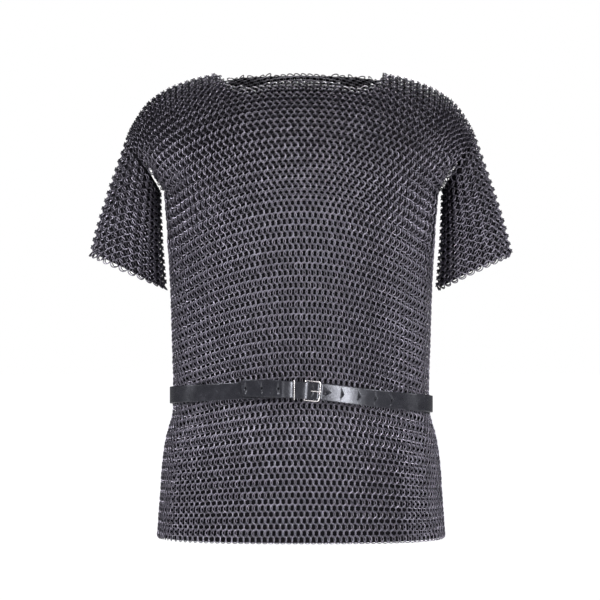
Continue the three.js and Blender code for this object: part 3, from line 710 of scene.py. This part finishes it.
# %% Finish shared by every steel part
def colour_socket(face, name):
    return face.new_socket(name, in_out="INPUT", socket_type="NodeSocketColor")


def steel_finish():
    """Dark steel mixed towards bright by a given share of rubbing and painted shade, with a fine uneven grain.
    """
    tree = bpy.data.node_groups.new("steel finish", "ShaderNodeTree")
    face = tree.interface
    face.new_socket("Place", in_out="INPUT", socket_type="NodeSocketVector")
    for name in ("Tone", "Bright Share", "Grain Scale", "Smoothest", "Roughest"):
        face.new_socket(name, in_out="INPUT", socket_type="NodeSocketFloat")
    colour_socket(face, "Dark")
    colour_socket(face, "Bright")
    face.new_socket("Color", in_out="OUTPUT", socket_type="NodeSocketColor")
    face.new_socket("Roughness", in_out="OUTPUT", socket_type="NodeSocketFloat")
    given = node(tree, "NodeGroupInput").outputs
    grain = node(tree, "ShaderNodeTexNoise",
                 {"Vector": given["Place"], "Scale": given["Grain Scale"], "Detail": 2.0})
    uneven = node(tree, "ShaderNodeMath", {0: grain.outputs["Fac"], 1: given["Tone"]}, operation="ADD")
    varied = node(tree, "ShaderNodeMapRange",
                  {"Value": uneven.outputs[0], "From Min": 0.3, "From Max": 1.5,
                   "To Min": 0.55, "To Max": 1.25})
    share = node(tree, "ShaderNodeMath", {0: varied.outputs[0], 1: given["Bright Share"]},
                 operation="MULTIPLY", use_clamp=True)
    colour = node(tree, "ShaderNodeMix", data_type="RGBA")
    tree.links.new(share.outputs[0], colour.inputs[0])
    tree.links.new(given["Dark"], colour.inputs[6])
    tree.links.new(given["Bright"], colour.inputs[7])
    rough = node(tree, "ShaderNodeMapRange",
                 {"Value": grain.outputs["Fac"], "To Min": given["Smoothest"],
                  "To Max": given["Roughest"]})
    node(tree, "NodeGroupOutput", {"Color": colour.outputs[2], "Roughness": rough.outputs[0]})
    return tree


STEEL_FINISH = steel_finish()


def finish_of(tree, values):
    """Place the steel finish in a material, and link it to the material's shader."""
    coordinates = node(tree, "ShaderNodeTexCoord")
    used = node(tree, "ShaderNodeGroup", node_tree=STEEL_FINISH)
    tree.links.new(coordinates.outputs["Object"], used.inputs["Place"])
    for name, value in values.items():
        if isinstance(value, bpy.types.NodeSocket):
            tree.links.new(value, used.inputs[name])
        else:
            used.inputs[name].default_value = value
    shader = tree.nodes["Principled BSDF"]
    tree.links.new(used.outputs["Color"], shader.inputs["Base Color"])
    tree.links.new(used.outputs["Roughness"], shader.inputs["Roughness"])
    return used


# %% Steel of the rings
def ring_steel():
    steel = bpy.data.materials.new("blackened ring steel")
    steel.use_nodes = True
    tree = steel.node_tree
    tree.nodes["Principled BSDF"].inputs["Metallic"].default_value = 1.0
    tone = node(tree, "ShaderNodeAttribute", attribute_name="ring_tone")
    # The wire's facing out of the cloth sets how bright the steel is. That is partly rubbing and partly
    # painted shade on the sides that face inwards.
    facing = node(tree, "ShaderNodeAttribute", attribute_name="wear_and_shade")
    wear_and_shade = node(tree, "ShaderNodeMapRange",
                {"Value": facing.outputs["Fac"], "From Min": -0.1, "From Max": 0.85})
    # The bright share halves from just below armpit height up to the shoulders. This is painted shade over the
    # chest and shoulders.
    coordinates = node(tree, "ShaderNodeTexCoord")
    height = node(tree, "ShaderNodeSeparateXYZ", {0: coordinates.outputs["Object"]})
    painted_shade_high = node(tree, "ShaderNodeMapRange",
                  {"Value": height.outputs["Z"], "From Min": -0.22, "From Max": -0.1,
                   "To Min": 1.0, "To Max": 0.5})
    wear_and_shade = node(tree, "ShaderNodeMath", {0: wear_and_shade.outputs[0], 1: painted_shade_high.outputs[0]},
                operation="MULTIPLY")
    finish_of(tree, {"Tone": tone.outputs["Fac"], "Bright Share": wear_and_shade.outputs[0], "Grain Scale": 260.0,
                     "Smoothest": 0.22, "Roughest": 0.38,
                     "Dark": (0.045, 0.041, 0.049, 1), "Bright": (0.3, 0.283, 0.345, 1)})
    return steel


steel = ring_steel()
weave = ring_weave(steel)

# %% [markdown]
# ## The shade sheet under the weave
# Under the rings lies a thin shell with the form of the wall. It is painted shade: a near-black
# sheet that stands for the shade between the rings and gives the weave its closed, dark ground.
# On the inside of the shirt it carries the pattern of rings as a relief in its material, painted
# as bright rings on painted shade. It follows the same rows and columns, so it keeps one depth
# under the rings.

# %% Shade sheet under the rings
INNER_DEPTH = 6.1            # from the outer face of the wall
INNER_THICK = 0.6
SEAM_GAP = 0.3
HEM_ROW = -0.55              # the inner face starts this many rows below the first
ROW_STRIDE = 2


def inner_stations(face, ring):
    """Places for the inner face up one line of rings, and the row number of each."""
    line = ring_line(face, ring)
    along = lengths(line)
    row_distance = row_distances(ring, line, along)
    rows = np.arange(len(row_distance))
    top = along[-1] - SEAM_GAP / 2
    column = column_of(ring, 0)
    if column < NECK_COLUMN:
        edge = read(THROAT if face == "front" else NAPE, "column", "z", column)
        top = np.interp(edge - RIM_CLEAR + 1.5, line[:, 2], along)
    share = np.linspace(0, 1, SHOULDER_ROWS // ROW_STRIDE + 1)
    if ring > RINGS_TO_SIDE:
        distance = mix(SEAM_GAP / 2, top, share)
    else:
        tube = np.interp(np.arange(0, TUBE_ROWS, ROW_STRIDE), rows, row_distance)
        tube[0] += HEM_ROW * (row_distance[1] - row_distance[0])
        distance = np.concatenate([tube, mix(tube[-1], top, share[1:])])
    row = np.interp(distance, row_distance, rows)
    return np.column_stack([places_along(line, along, distance), row])


def inner_sheet(name, laid, rows, rings, closed, flip, materials):
    """A thin closed shell through a grid of places, with rings and rows as its UV map."""
    high, wide = laid.shape[:2]
    faces = []
    for row in range(high if closed else high - 1):
        for ring in range(wide - 1):
            low, top = row * wide + ring, (row + 1) % high * wide + ring
            corners = [low, low + 1, top + 1, top]
            faces.append(corners[::-1] if flip else corners)
    mesh = bpy.data.meshes.new(name)
    mesh.from_pydata((laid * MM).reshape(-1, 3).tolist(), [], faces)
    uv_of = np.stack([np.broadcast_to(rings, rows.shape), rows], axis=-1).reshape(-1, 2)
    corners = np.array([loop.vertex_index for loop in mesh.loops])
    uv = mesh.uv_layers.new(name="rings_and_rows")
    uv.data.foreach_set("uv", uv_of[corners].astype(np.float32).ravel())
    for material in materials:
        mesh.materials.append(material)
    mesh.polygons.foreach_set("use_smooth", [True] * len(mesh.polygons))
    piece = bpy.data.objects.new(name, mesh)
    scene.collection.objects.link(piece)
    wall = piece.modifiers.new("wall", "SOLIDIFY")
    wall.thickness = INNER_THICK * MM
    wall.offset = -1
    wall.material_offset = 1
    piece.data = evaluated_mesh(piece, name)
    piece.modifiers.clear()
    print(name, len(piece.data.polygons), "faces")
    return piece


def face_inner(face, materials):
    rings = np.append(np.arange(0, int(RINGS_TO_SIDE)), RINGS_TO_SIDE - SEAM_GAP / 16)
    right = np.stack([inner_stations(face, ring) for ring in rings], axis=1)
    grid = np.concatenate([right[:, :0:-1] * np.array([-1, 1, 1, 1]), right], axis=1)
    across = np.concatenate([-rings[:0:-1], rings])
    places, rows = grid[..., :3], grid[..., 3]
    if face == "front":
        places[..., 1] *= -1
    up, sideways, _, _ = directions(places)
    proud = relief(face, np.broadcast_to(across, rows.shape), places[..., 2])
    laid = lay_in_wall(places, outward_of(face, up, sideways), proud, INNER_DEPTH)
    return inner_sheet(f"{face}_shade_sheet", laid, rows, across, False, face == "back", materials)


def sleeve_inner(side, materials):
    rings = np.append(np.arange(RINGS_TO_SIDE + SEAM_GAP / 16, RINGS_TO_CUFF), RINGS_TO_CUFF)
    places = sleeve_loops(side, rings, lambda face, ring: inner_stations(face, ring)[:, :3])
    rows = np.arange(len(places))[:, None] * ROW_STRIDE + np.zeros(len(rings))[None, :]
    up, sideways, _, _ = directions(places, loop=True)
    normal = sleeve_normal(side, up, sideways)
    laid = lay_in_wall(places, normal, np.zeros(rows.shape), INNER_DEPTH)
    name = "sleeve_left_shade_sheet" if side < 0 else "sleeve_right_shade_sheet"
    return inner_sheet(name, laid, rows, rings, True, side < 0, materials)


def deep_shade():
    """Painted shade between the rings: near black, with a little random unevenness."""
    shade = bpy.data.materials.new("shade between the rings")
    shade.use_nodes = True
    tree = shade.node_tree
    shader = tree.nodes["Principled BSDF"]
    shader.inputs["Specular IOR Level"].default_value = 0.1
    shader.inputs["Roughness"].default_value = 0.8
    coordinates = node(tree, "ShaderNodeTexCoord")
    oil = node(tree, "ShaderNodeTexNoise",
               {"Vector": coordinates.outputs["Object"], "Scale": 60.0, "Detail": 2.0})
    ramp = node(tree, "ShaderNodeValToRGB", {"Fac": oil.outputs["Fac"]})
    ramp.color_ramp.elements[0].color = (0.005, 0.0045, 0.006, 1)
    ramp.color_ramp.elements[1].color = (0.012, 0.011, 0.014, 1)
    tree.links.new(ramp.outputs["Color"], shader.inputs["Base Color"])
    return shade


# %% Pattern of rings on the inside
def ring_pattern():
    """Height of the wire under a place given in rings and rows, from the four nearest rings."""
    tree = bpy.data.node_groups.new("ring pattern", "ShaderNodeTree")
    face = tree.interface
    face.new_socket("Rings and Rows", in_out="INPUT", socket_type="NodeSocketVector")
    for name in ("Ring Pitch", "Row Pitch", "Ring Radius", "Wire Radius"):
        face.new_socket(name, in_out="INPUT", socket_type="NodeSocketFloat")
    face.new_socket("Height", in_out="OUTPUT", socket_type="NodeSocketFloat")
    given = node(tree, "NodeGroupInput").outputs
    parts = node(tree, "ShaderNodeSeparateXYZ", {0: given["Rings and Rows"]}).outputs

    def maths(kind, first, second=0.0, clamp=False):
        return node(tree, "ShaderNodeMath", {0: first, 1: second}, operation=kind,
                    use_clamp=clamp).outputs[0]

    highest = None
    for ring_shift, row_shift in ((0.0, 0.0), (0.5, 1.0)):
        across = maths("PINGPONG", maths("ADD", parts[0], ring_shift), 0.5)
        rise = maths("PINGPONG", maths("ADD", parts[1], row_shift), 1.0)
        rise = maths("MULTIPLY", rise, given["Row Pitch"])
        for reach in (across, maths("SUBTRACT", 1.0, across)):
            reach = maths("MULTIPLY", reach, given["Ring Pitch"])
            squares = maths("ADD", maths("MULTIPLY", reach, reach), maths("MULTIPLY", rise, rise))
            miss = maths("ABSOLUTE", maths("SUBTRACT", maths("SQRT", squares), given["Ring Radius"]))
            wire = maths("SUBTRACT", 1.0, maths("DIVIDE", miss, given["Wire Radius"]), clamp=True)
            highest = wire if highest is None else maths("MAXIMUM", highest, wire)
    node(tree, "NodeGroupOutput", {"Height": highest})
    return tree


def painted_inside_rings():
    inside = bpy.data.materials.new("inside of the weave")
    inside.use_nodes = True
    tree = inside.node_tree
    shader = tree.nodes["Principled BSDF"]
    shader.inputs["Metallic"].default_value = 0.9
    where = node(tree, "ShaderNodeUVMap", uv_map="rings_and_rows")
    rings = node(tree, "ShaderNodeGroup", node_tree=ring_pattern())
    tree.links.new(where.outputs["UV"], rings.inputs["Rings and Rows"])
    for name, value in (("Ring Pitch", 8.7), ("Row Pitch", 8.6),
                        ("Ring Radius", RING_RADIUS), ("Wire Radius", WIRE / 2)):
        rings.inputs[name].default_value = value
    height = rings.outputs["Height"]
    # The pattern's height also sets the colour. The result is painted rings, brightest on their crests, on
    # near-black painted shade between them.
    finish_of(tree, {"Tone": 0.4, "Bright Share": height, "Grain Scale": 200.0, "Smoothest": 0.35,
                     "Roughest": 0.55, "Dark": (0.006, 0.006, 0.007, 1),
                     "Bright": (0.2, 0.19, 0.22, 1)})
    bump = node(tree, "ShaderNodeBump", {"Height": height, "Strength": 0.8, "Distance": 0.0016})
    tree.links.new(bump.outputs["Normal"], shader.inputs["Normal"])
    return inside


inner_materials = [deep_shade(), painted_inside_rings()]
# Thin near-black sheets of painted shade under the rings, with painted rings on their inside.
shade_sheets = {
    "front": face_inner("front", inner_materials),
    "back": face_inner("back", inner_materials),
    "sleeve_left": sleeve_inner(-1, inner_materials),
    "sleeve_right": sleeve_inner(1, inner_materials),
}

# %% [markdown]
# ## Pieces of mail
# The front and the back are each woven here as three pieces: skirt, body and yoke.

# %% Mail pieces
WAIST_ROW = 23


def part_of(rings, first, last):
    chosen = (rings[2] >= first) & (rings[2] < last)
    return tuple(values[chosen] for values in rings)


pieces = {}
for face, rings in (("front", front_rings), ("back", back_rings)):
    for part, first, last in (("skirt", 0, WAIST_ROW), ("body", WAIST_ROW, TUBE_ROWS),
                              ("yoke", TUBE_ROWS, TUBE_ROWS + SHOULDER_ROWS)):
        name = f"{face}_{part}"
        pieces[name] = (face, woven_piece(name, part_of(rings, first, last), weave, RANDOM_SEED + len(pieces)))
for side, rings in (("left", left_rings), ("right", right_rings)):
    name = f"sleeve_{side}_weave"
    pieces[name] = (f"sleeve_{side}", woven_piece(name, rings, weave, RANDOM_SEED + len(pieces)))

for name, (cad_node, piece) in pieces.items():
    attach(piece, "root")
    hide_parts(cad_node)
for cad_node, piece in shade_sheets.items():
    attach(piece, "root")
    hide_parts(cad_node)

# %% [markdown]
# ## The belt
# The belt is one strip of smooth black leather. Its inner end is folded round the bar of the
# buckle, it goes once round the waist, and its free end runs on through the buckle and under a
# wire keeper. So the strap is one route of places, with a rounded strap section swept along it,
# and its holes are cut afterwards. Sweeping keeps the layers one step apart, as sewn leather is.

# %% Belt sizes
STRAP_WIDE, STRAP_THICK = 24.0, 2.4
STRAP_OFF = 3.6              # from the mail to the middle of the strap
LAYER_STEP = 2.9
BELT_Z, BELT_RISE, BELT_TILT = -479.7, 24.7, 6.5
BUCKLE_WIRE, PRONG_WIRE, KEEPER_WIRE = 2.2, 1.8, 1.8
PLAY = 0.45                  # between steel and leather
BAR_X, FRAME_LONG, FRAME_HIGH = 5.0, 21.0, 27.4
FOLD_RADIUS = BUCKLE_WIRE / 2 + PLAY + STRAP_THICK / 2
BAR_OFF = STRAP_OFF + FOLD_RADIUS
PRONG_OFF = BAR_OFF + BUCKLE_WIRE / 2 + PLAY + PRONG_WIRE / 2
KEEPER_X, RETURN_X, TIP_X = -9.7, -26.0, -82.0
TAIL_BOW, TAIL_LIFT = 5.0, 4.0
HOLE_PITCH, HOLE_RADIUS, PRONG_HOLE_X = 22.5, 1.4, 13.5
HOLES = (-4, -3, -2, -1, 1, 2, 3, 4, 5)
THROUGH_BUCKLE = [
    {"x": 5, "share": 1},
    {"x": 9.5, "share": 0.9},
    {"x": 13.5, "share": 0.6},
    {"x": 18.5, "share": 0.22},
    {"x": 22.5, "share": 0},
    {"x": 28, "share": 0},
]


# %% Line of the belt round the waist
def belt_height(x, y):
    turn = np.arctan2(x, -y)
    return BELT_Z + BELT_RISE * ((1 + np.cos(turn)) / 2) ** 2 - BELT_TILT * np.sin(turn)


def belt_ground(face, across):
    """A place on the mail behind the middle of the belt, and the level direction out of it."""
    columns = np.clip(abs(across) + np.array([-0.3, 0, 0.3]), 0, SIDE_COLUMN)
    turned = np.array([-1 if across < 0 else 1, -1 if face == "front" else 1, 1])
    z = BELT_Z
    for _ in range(3):
        near = round_body(face, columns, z) * turned
        z = float(belt_height(near[1, 0], near[1, 1]))
    along = near[2] - near[0]
    out = np.array([along[1], -along[0], 0.0]) / math.hypot(along[0], along[1])
    out *= 1 if out @ near[1] > 0 else -1
    return np.array([near[1, 0], near[1, 1], z]), out


FRONT_LINE = [belt_ground("front", across) for across in np.linspace(-SIDE_COLUMN, SIDE_COLUMN, 273)]
FRONT_POINTS = np.array([point for point, _ in FRONT_LINE])
FRONT_OUT = np.array([out for _, out in FRONT_LINE])


def front_place(x, off, lift=0.0):
    """A place at the front of the waist: x to the side, and off the mail."""
    point = np.array([np.interp(x, FRONT_POINTS[:, 0], FRONT_POINTS[:, k]) for k in range(3)])
    out = np.array([np.interp(x, FRONT_POINTS[:, 0], FRONT_OUT[:, k]) for k in range(3)])
    return point + off * out / np.linalg.norm(out) + np.array([0, 0, lift])


def under_layer(x):
    """How far off the mail the layer lies that is sewn to the buckle, left of its bar."""
    at_keeper = STRAP_OFF + LAYER_STEP + KEEPER_WIRE + 2 * PLAY - 0.5
    at_return = STRAP_OFF + LAYER_STEP
    if x > KEEPER_X:
        return mix(BAR_OFF + FOLD_RADIUS, at_keeper, (BAR_X - x) / (BAR_X - KEEPER_X))
    if x > RETURN_X:
        return mix(at_keeper, at_return, smooth((KEEPER_X - x) / (KEEPER_X - RETURN_X)))
    return mix(at_return, STRAP_OFF, smooth((RETURN_X - x) / 12))


def tail_place(x, more=0.0):
    """A place on the free end, which bows off the layer under it and rises to its tip."""
    run = min(1, max(0, (KEEPER_X - x) / (KEEPER_X - TIP_X)))
    bow = TAIL_BOW * math.sin(math.pi * run**0.8) + 1.2 * run
    return front_place(x, under_layer(x) + LAYER_STEP + bow + more, TAIL_LIFT * run)


# %% Route of the strap
def strap_route():
    route = [front_place(x, STRAP_OFF) for x in np.linspace(RETURN_X, BAR_X, 12)]
    for turn in np.linspace(0, math.pi, 15)[1:]:
        route.append(front_place(BAR_X + FOLD_RADIUS * math.sin(turn),
                                 BAR_OFF - FOLD_RADIUS * math.cos(turn)))
    route += [front_place(x, under_layer(x)) for x in np.linspace(2, -52, 28)]
    runs = (("front", -12, -SIDE_COLUMN, 30), ("back", -SIDE_COLUMN, SIDE_COLUMN, 80),
            ("front", SIDE_COLUMN, 6, 34))
    for face, start, end, steps in runs:
        for across in np.linspace(start, end, steps):
            point, out = belt_ground(face, across)
            place = point + STRAP_OFF * out
            if np.linalg.norm(place - route[-1]) > 1.0:
                route.append(place)
    over = BAR_OFF + FOLD_RADIUS + LAYER_STEP
    for x in np.linspace(28, 5, 17):
        route.append(front_place(x, mix(STRAP_OFF, over, read(THROUGH_BUCKLE, "x", "share", x))))
    route += [tail_place(x) for x in np.linspace(-0.5, TIP_X, 50)]
    return np.array(route)


def belt_up(point):
    """Up the width of the strap: square to the line that the belt takes round the body."""
    turn, step = math.atan2(point[0], -point[1]), 0.02
    ahead = belt_height(math.sin(turn + step), -math.cos(turn + step))
    behind = belt_height(math.sin(turn - step), -math.cos(turn - step))
    slope = (ahead - behind) / (2 * step * math.hypot(point[0], point[1]))
    line = np.array([math.cos(turn), math.sin(turn), slope])
    line /= np.linalg.norm(line)
    up = np.array([0, 0, 1.0]) - line * line[2]
    return up / np.linalg.norm(up)


# %% Sweeping a section along a route
def swept_mesh(name, stations, closed, material):
    """A skin through rings of places, one ring at each station, capped unless it is closed."""
    stations = np.asarray(stations) * MM
    count, sides = stations.shape[:2]
    faces = []
    for i in range(count if closed else count - 1):
        for k in range(sides):
            a, b = i * sides + k, i * sides + (k + 1) % sides
            c, d = (i + 1) % count * sides + (k + 1) % sides, (i + 1) % count * sides + k
            faces.append([a, b, c, d])
    if not closed:
        faces.append(list(range(sides))[::-1])
        faces.append([(count - 1) * sides + k for k in range(sides)])
    mesh = bpy.data.meshes.new(name)
    mesh.from_pydata(stations.reshape(-1, 3).tolist(), [], faces)
    made = bmesh.new()
    made.from_mesh(mesh)
    bmesh.ops.recalc_face_normals(made, faces=made.faces)
    made.to_mesh(mesh)
    made.free()
    mesh.polygons.foreach_set("use_smooth", [True] * len(mesh.polygons))
    mesh.materials.append(material)
    piece = bpy.data.objects.new(name, mesh)
    scene.collection.objects.link(piece)
    return piece


def strap_section(half_width):
    """Round the strap's section: (across, out) pairs, with rounded edges."""
    corner, inset = 0.8, 0.5
    half_thick = STRAP_THICK / 2
    section = []
    for quarter in range(4):
        side = 1 if quarter in (0, 3) else -1
        top = 1 if quarter in (0, 1) else -1
        middle = np.array([side * (half_width - corner), top * (half_thick - corner)])
        for turn in np.linspace(0, math.pi / 2, 4) + quarter * math.pi / 2:
            section.append(middle + corner * np.array([math.cos(turn), math.sin(turn)]))
        end = section[-1]
        if quarter in (0, 2):
            for share in (inset, half_width - corner, 2 * (half_width - corner) - inset):
                section.append(end - np.array([side * share, 0]))
    return np.array(section)


# %% Finish of the leather
def leather_grain():
    """Fine pebbled grain and soft handling marks of smooth strap leather."""
    tree = bpy.data.node_groups.new("leather grain", "ShaderNodeTree")
    face = tree.interface
    face.new_socket("Place", in_out="INPUT", socket_type="NodeSocketVector")
    for name in ("Grain Scale", "Mark Scale", "Smoothest", "Roughest"):
        face.new_socket(name, in_out="INPUT", socket_type="NodeSocketFloat")
    colour_socket(face, "Dark")
    colour_socket(face, "Pale")
    face.new_socket("Color", in_out="OUTPUT", socket_type="NodeSocketColor")
    for name in ("Roughness", "Height"):
        face.new_socket(name, in_out="OUTPUT", socket_type="NodeSocketFloat")
    given = node(tree, "NodeGroupInput").outputs
    pebbles = node(tree, "ShaderNodeTexVoronoi",
                   {"Vector": given["Place"], "Scale": given["Grain Scale"]})
    marks = node(tree, "ShaderNodeTexNoise",
                 {"Vector": given["Place"], "Scale": given["Mark Scale"], "Detail": 4.0})
    colour = node(tree, "ShaderNodeMix", data_type="RGBA")
    tree.links.new(marks.outputs["Fac"], colour.inputs[0])
    tree.links.new(given["Dark"], colour.inputs[6])
    tree.links.new(given["Pale"], colour.inputs[7])
    rough = node(tree, "ShaderNodeMapRange",
                 {"Value": marks.outputs["Fac"], "From Min": 0.3, "From Max": 0.7,
                  "To Min": given["Smoothest"], "To Max": given["Roughest"]})
    node(tree, "NodeGroupOutput", {"Color": colour.outputs[2], "Roughness": rough.outputs[0],
                                   "Height": pebbles.outputs["Distance"]})
    return tree


def strap_leather():
    leather = bpy.data.materials.new("black strap leather")
    leather.use_nodes = True
    tree = leather.node_tree
    shader = tree.nodes["Principled BSDF"]
    shader.inputs["Specular IOR Level"].default_value = 0.6
    shader.inputs["Specular Tint"].default_value = (0.88, 0.9, 1.0, 1)
    coordinates = node(tree, "ShaderNodeTexCoord")
    grain = node(tree, "ShaderNodeGroup", node_tree=leather_grain())
    tree.links.new(coordinates.outputs["Object"], grain.inputs["Place"])
    for name, value in (("Grain Scale", 900.0), ("Mark Scale", 90.0), ("Smoothest", 0.2),
                        ("Roughest", 0.28), ("Dark", (0.008, 0.008, 0.01, 1)),
                        ("Pale", (0.02, 0.02, 0.025, 1))):
        grain.inputs[name].default_value = value
    tree.links.new(grain.outputs["Color"], shader.inputs["Base Color"])
    tree.links.new(grain.outputs["Roughness"], shader.inputs["Roughness"])
    bump = node(tree, "ShaderNodeBump",
                {"Height": grain.outputs["Height"], "Strength": 0.12, "Distance": 0.0003})
    tree.links.new(bump.outputs["Normal"], shader.inputs["Normal"])
    return leather


def bright_wire():
    bright = bpy.data.materials.new("bright steel wire")
    bright.use_nodes = True
    tree = bright.node_tree
    tree.nodes["Principled BSDF"].inputs["Metallic"].default_value = 1.0
    finish_of(tree, {"Tone": 0.6, "Bright Share": 1.0, "Grain Scale": 700.0, "Smoothest": 0.18,
                     "Roughest": 0.34, "Dark": (0.3, 0.27, 0.28, 1), "Bright": (0.78, 0.73, 0.74, 1)})
    return bright


leather, bright_steel = strap_leather(), bright_wire()


# %% The strap
def strap_body():
    route = strap_route()
    left = lengths(route)[-1] - lengths(route)
    along = np.gradient(route, axis=0)
    stations = []
    for point, direction, to_end in zip(route, along, left):
        up = belt_up(point)
        out = np.cross(up, direction / np.linalg.norm(direction))
        out /= np.linalg.norm(out)
        trim = 2.0 * max(0.0, 1 - to_end / 5) ** 2
        section = strap_section(STRAP_WIDE / 2 - trim)
        stations.append(point + section[:, :1] * up + section[:, 1:] * out)
    print("strap", round(lengths(route)[-1]), "mm long")
    return swept_mesh("belt_leather", stations, False, leather)


def buckle_place(along, off, rise):
    """A place on the buckle's own flat plane: along the strap, off it and up it."""
    direction = front_place(BAR_X + FRAME_LONG, 0) - front_place(BAR_X, 0)
    direction /= np.linalg.norm(direction)
    up = np.array([0, 0, 1.0]) - direction * direction[2]
    up /= np.linalg.norm(up)
    out = np.cross(direction, up)
    return front_place(BAR_X, 0) + along * direction + off * out + rise * up


def add_rod(made, start, end, radius):
    """A round rod from one place to another, added to a mesh that will be cut away."""
    span = Vector((end - start) * MM)
    middle = Vector((end + start) / 2 * MM)
    turned = span.to_track_quat("Z", "Y").to_matrix().to_4x4()
    turned.translation = middle
    bmesh.ops.create_cone(made, cap_ends=True, segments=20, radius1=radius * MM,
                          radius2=radius * MM, depth=span.length, matrix=turned)


def punch_strap(strap):
    made = bmesh.new()
    for hole in HOLES:
        x = PRONG_HOLE_X + hole * HOLE_PITCH
        if hole > 0:
            add_rod(made, front_place(x, STRAP_OFF - 4), front_place(x, STRAP_OFF + 4), HOLE_RADIUS)
        else:
            add_rod(made, tail_place(x, -STRAP_THICK / 2 - 0.2), tail_place(x, 4), HOLE_RADIUS)
    add_rod(made, buckle_place(1.0, PRONG_OFF, 0), buckle_place(FRAME_LONG + 4, PRONG_OFF, 0),
            PRONG_WIRE / 2 + PLAY)
    mesh = bpy.data.meshes.new("punches")
    made.to_mesh(mesh)
    made.free()
    punches = bpy.data.objects.new("punches", mesh)
    scene.collection.objects.link(punches)
    cut = strap.modifiers.new("punch", "BOOLEAN")
    cut.operation = "DIFFERENCE"
    cut.solver = "EXACT"
    cut.object = punches
    bpy.context.view_layer.update()
    strap.data = evaluated_mesh(strap, strap.name)
    strap.modifiers.clear()
    bpy.data.objects.remove(punches)
    print("strap has", len(strap.data.polygons), "faces")


strap = strap_body()
punch_strap(strap)


# %% Bent wire
def rounded_rectangle(long, high, right_radius, left_radius, steps=8):
    points = []
    for quarter, (right, up) in enumerate(((1, 1), (-1, 1), (-1, -1), (1, -1))):
        radius = right_radius if right > 0 else left_radius
        for turn in np.linspace(0, math.pi / 2, steps + 1) + quarter * math.pi / 2:
            points.append((right * (long / 2 - radius) + radius * math.cos(turn),
                           up * (high / 2 - radius) + radius * math.sin(turn)))
    return points


def bent_wire(name, path, thickness, closed):
    """A round wire along a flat path. Open ends are domed, as a filed wire's are."""
    path = np.array(path)
    centre = path.mean(axis=0)
    flat = np.cross(path[:-1] - centre, path[1:] - centre).sum(axis=0)
    flat /= np.linalg.norm(flat)
    if closed:
        along = np.roll(path, -1, axis=0) - np.roll(path, 1, axis=0)
    else:
        along = np.gradient(path, axis=0)
    along /= np.linalg.norm(along, axis=1, keepdims=True)
    places = [(point, direction, 1.0) for point, direction in zip(path, along)]
    if not closed:
        for turn in np.radians((30, 55, 78)):
            reach = thickness / 2 * math.sin(turn)
            places.insert(0, (path[0] - along[0] * reach, along[0], math.cos(turn)))
            places.append((path[-1] + along[-1] * reach, along[-1], math.cos(turn)))
    stations = []
    turns = np.linspace(0, 2 * math.pi, 16, endpoint=False)[:, None]
    for point, direction, scale in places:
        out = np.cross(direction, flat)
        out /= np.linalg.norm(out)
        over = np.cross(out, direction)
        stations.append(point + scale * thickness / 2 * (np.cos(turns) * out + np.sin(turns) * over))
    return swept_mesh(name, stations, closed, bright_steel)


# %% Buckle and keeper
frame_path = [buckle_place(x + FRAME_LONG / 2, BAR_OFF, rise)
              for x, rise in rounded_rectangle(FRAME_LONG, FRAME_HIGH, 3.6, 1.3)]
buckle = bent_wire("buckle_wire", frame_path, BUCKLE_WIRE, True)

EYE = BUCKLE_WIRE / 2 + PLAY + PRONG_WIRE / 2
prong_path = [buckle_place(-EYE * math.cos(turn), BAR_OFF + EYE * math.sin(turn), 0)
              for turn in np.radians(np.linspace(-200, 90, 25))]
prong_path += [buckle_place(x, PRONG_OFF, 0) for x in np.linspace(3, FRAME_LONG + 1.3, 8)]
prong = bent_wire("prong_wire", prong_path, PRONG_WIRE, False)

keeper_low = STRAP_OFF + STRAP_THICK / 2 + PLAY + KEEPER_WIRE / 2
keeper_high = under_layer(KEEPER_X) + LAYER_STEP + STRAP_THICK / 2 + PLAY + KEEPER_WIRE / 2
keeper_tall = STRAP_WIDE + KEEPER_WIRE + 2 * PLAY + 1.4
keeper_path = [front_place(KEEPER_X, (keeper_low + keeper_high) / 2 + off, rise)
               for off, rise in rounded_rectangle(keeper_high - keeper_low, keeper_tall, 1.6, 1.6, 6)]
keeper = bent_wire("keeper_wire", keeper_path, KEEPER_WIRE, True)

for piece, cad_node, slot in ((strap, "belt_strap", "leather"), (buckle, "buckle_frame", "buckle_steel"),
                              (prong, "buckle_prong", "buckle_steel"), (keeper, "keeper", "buckle_steel")):
    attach(piece, "root")
    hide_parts(cad_node)
print("belt and buckle made of 4 pieces")
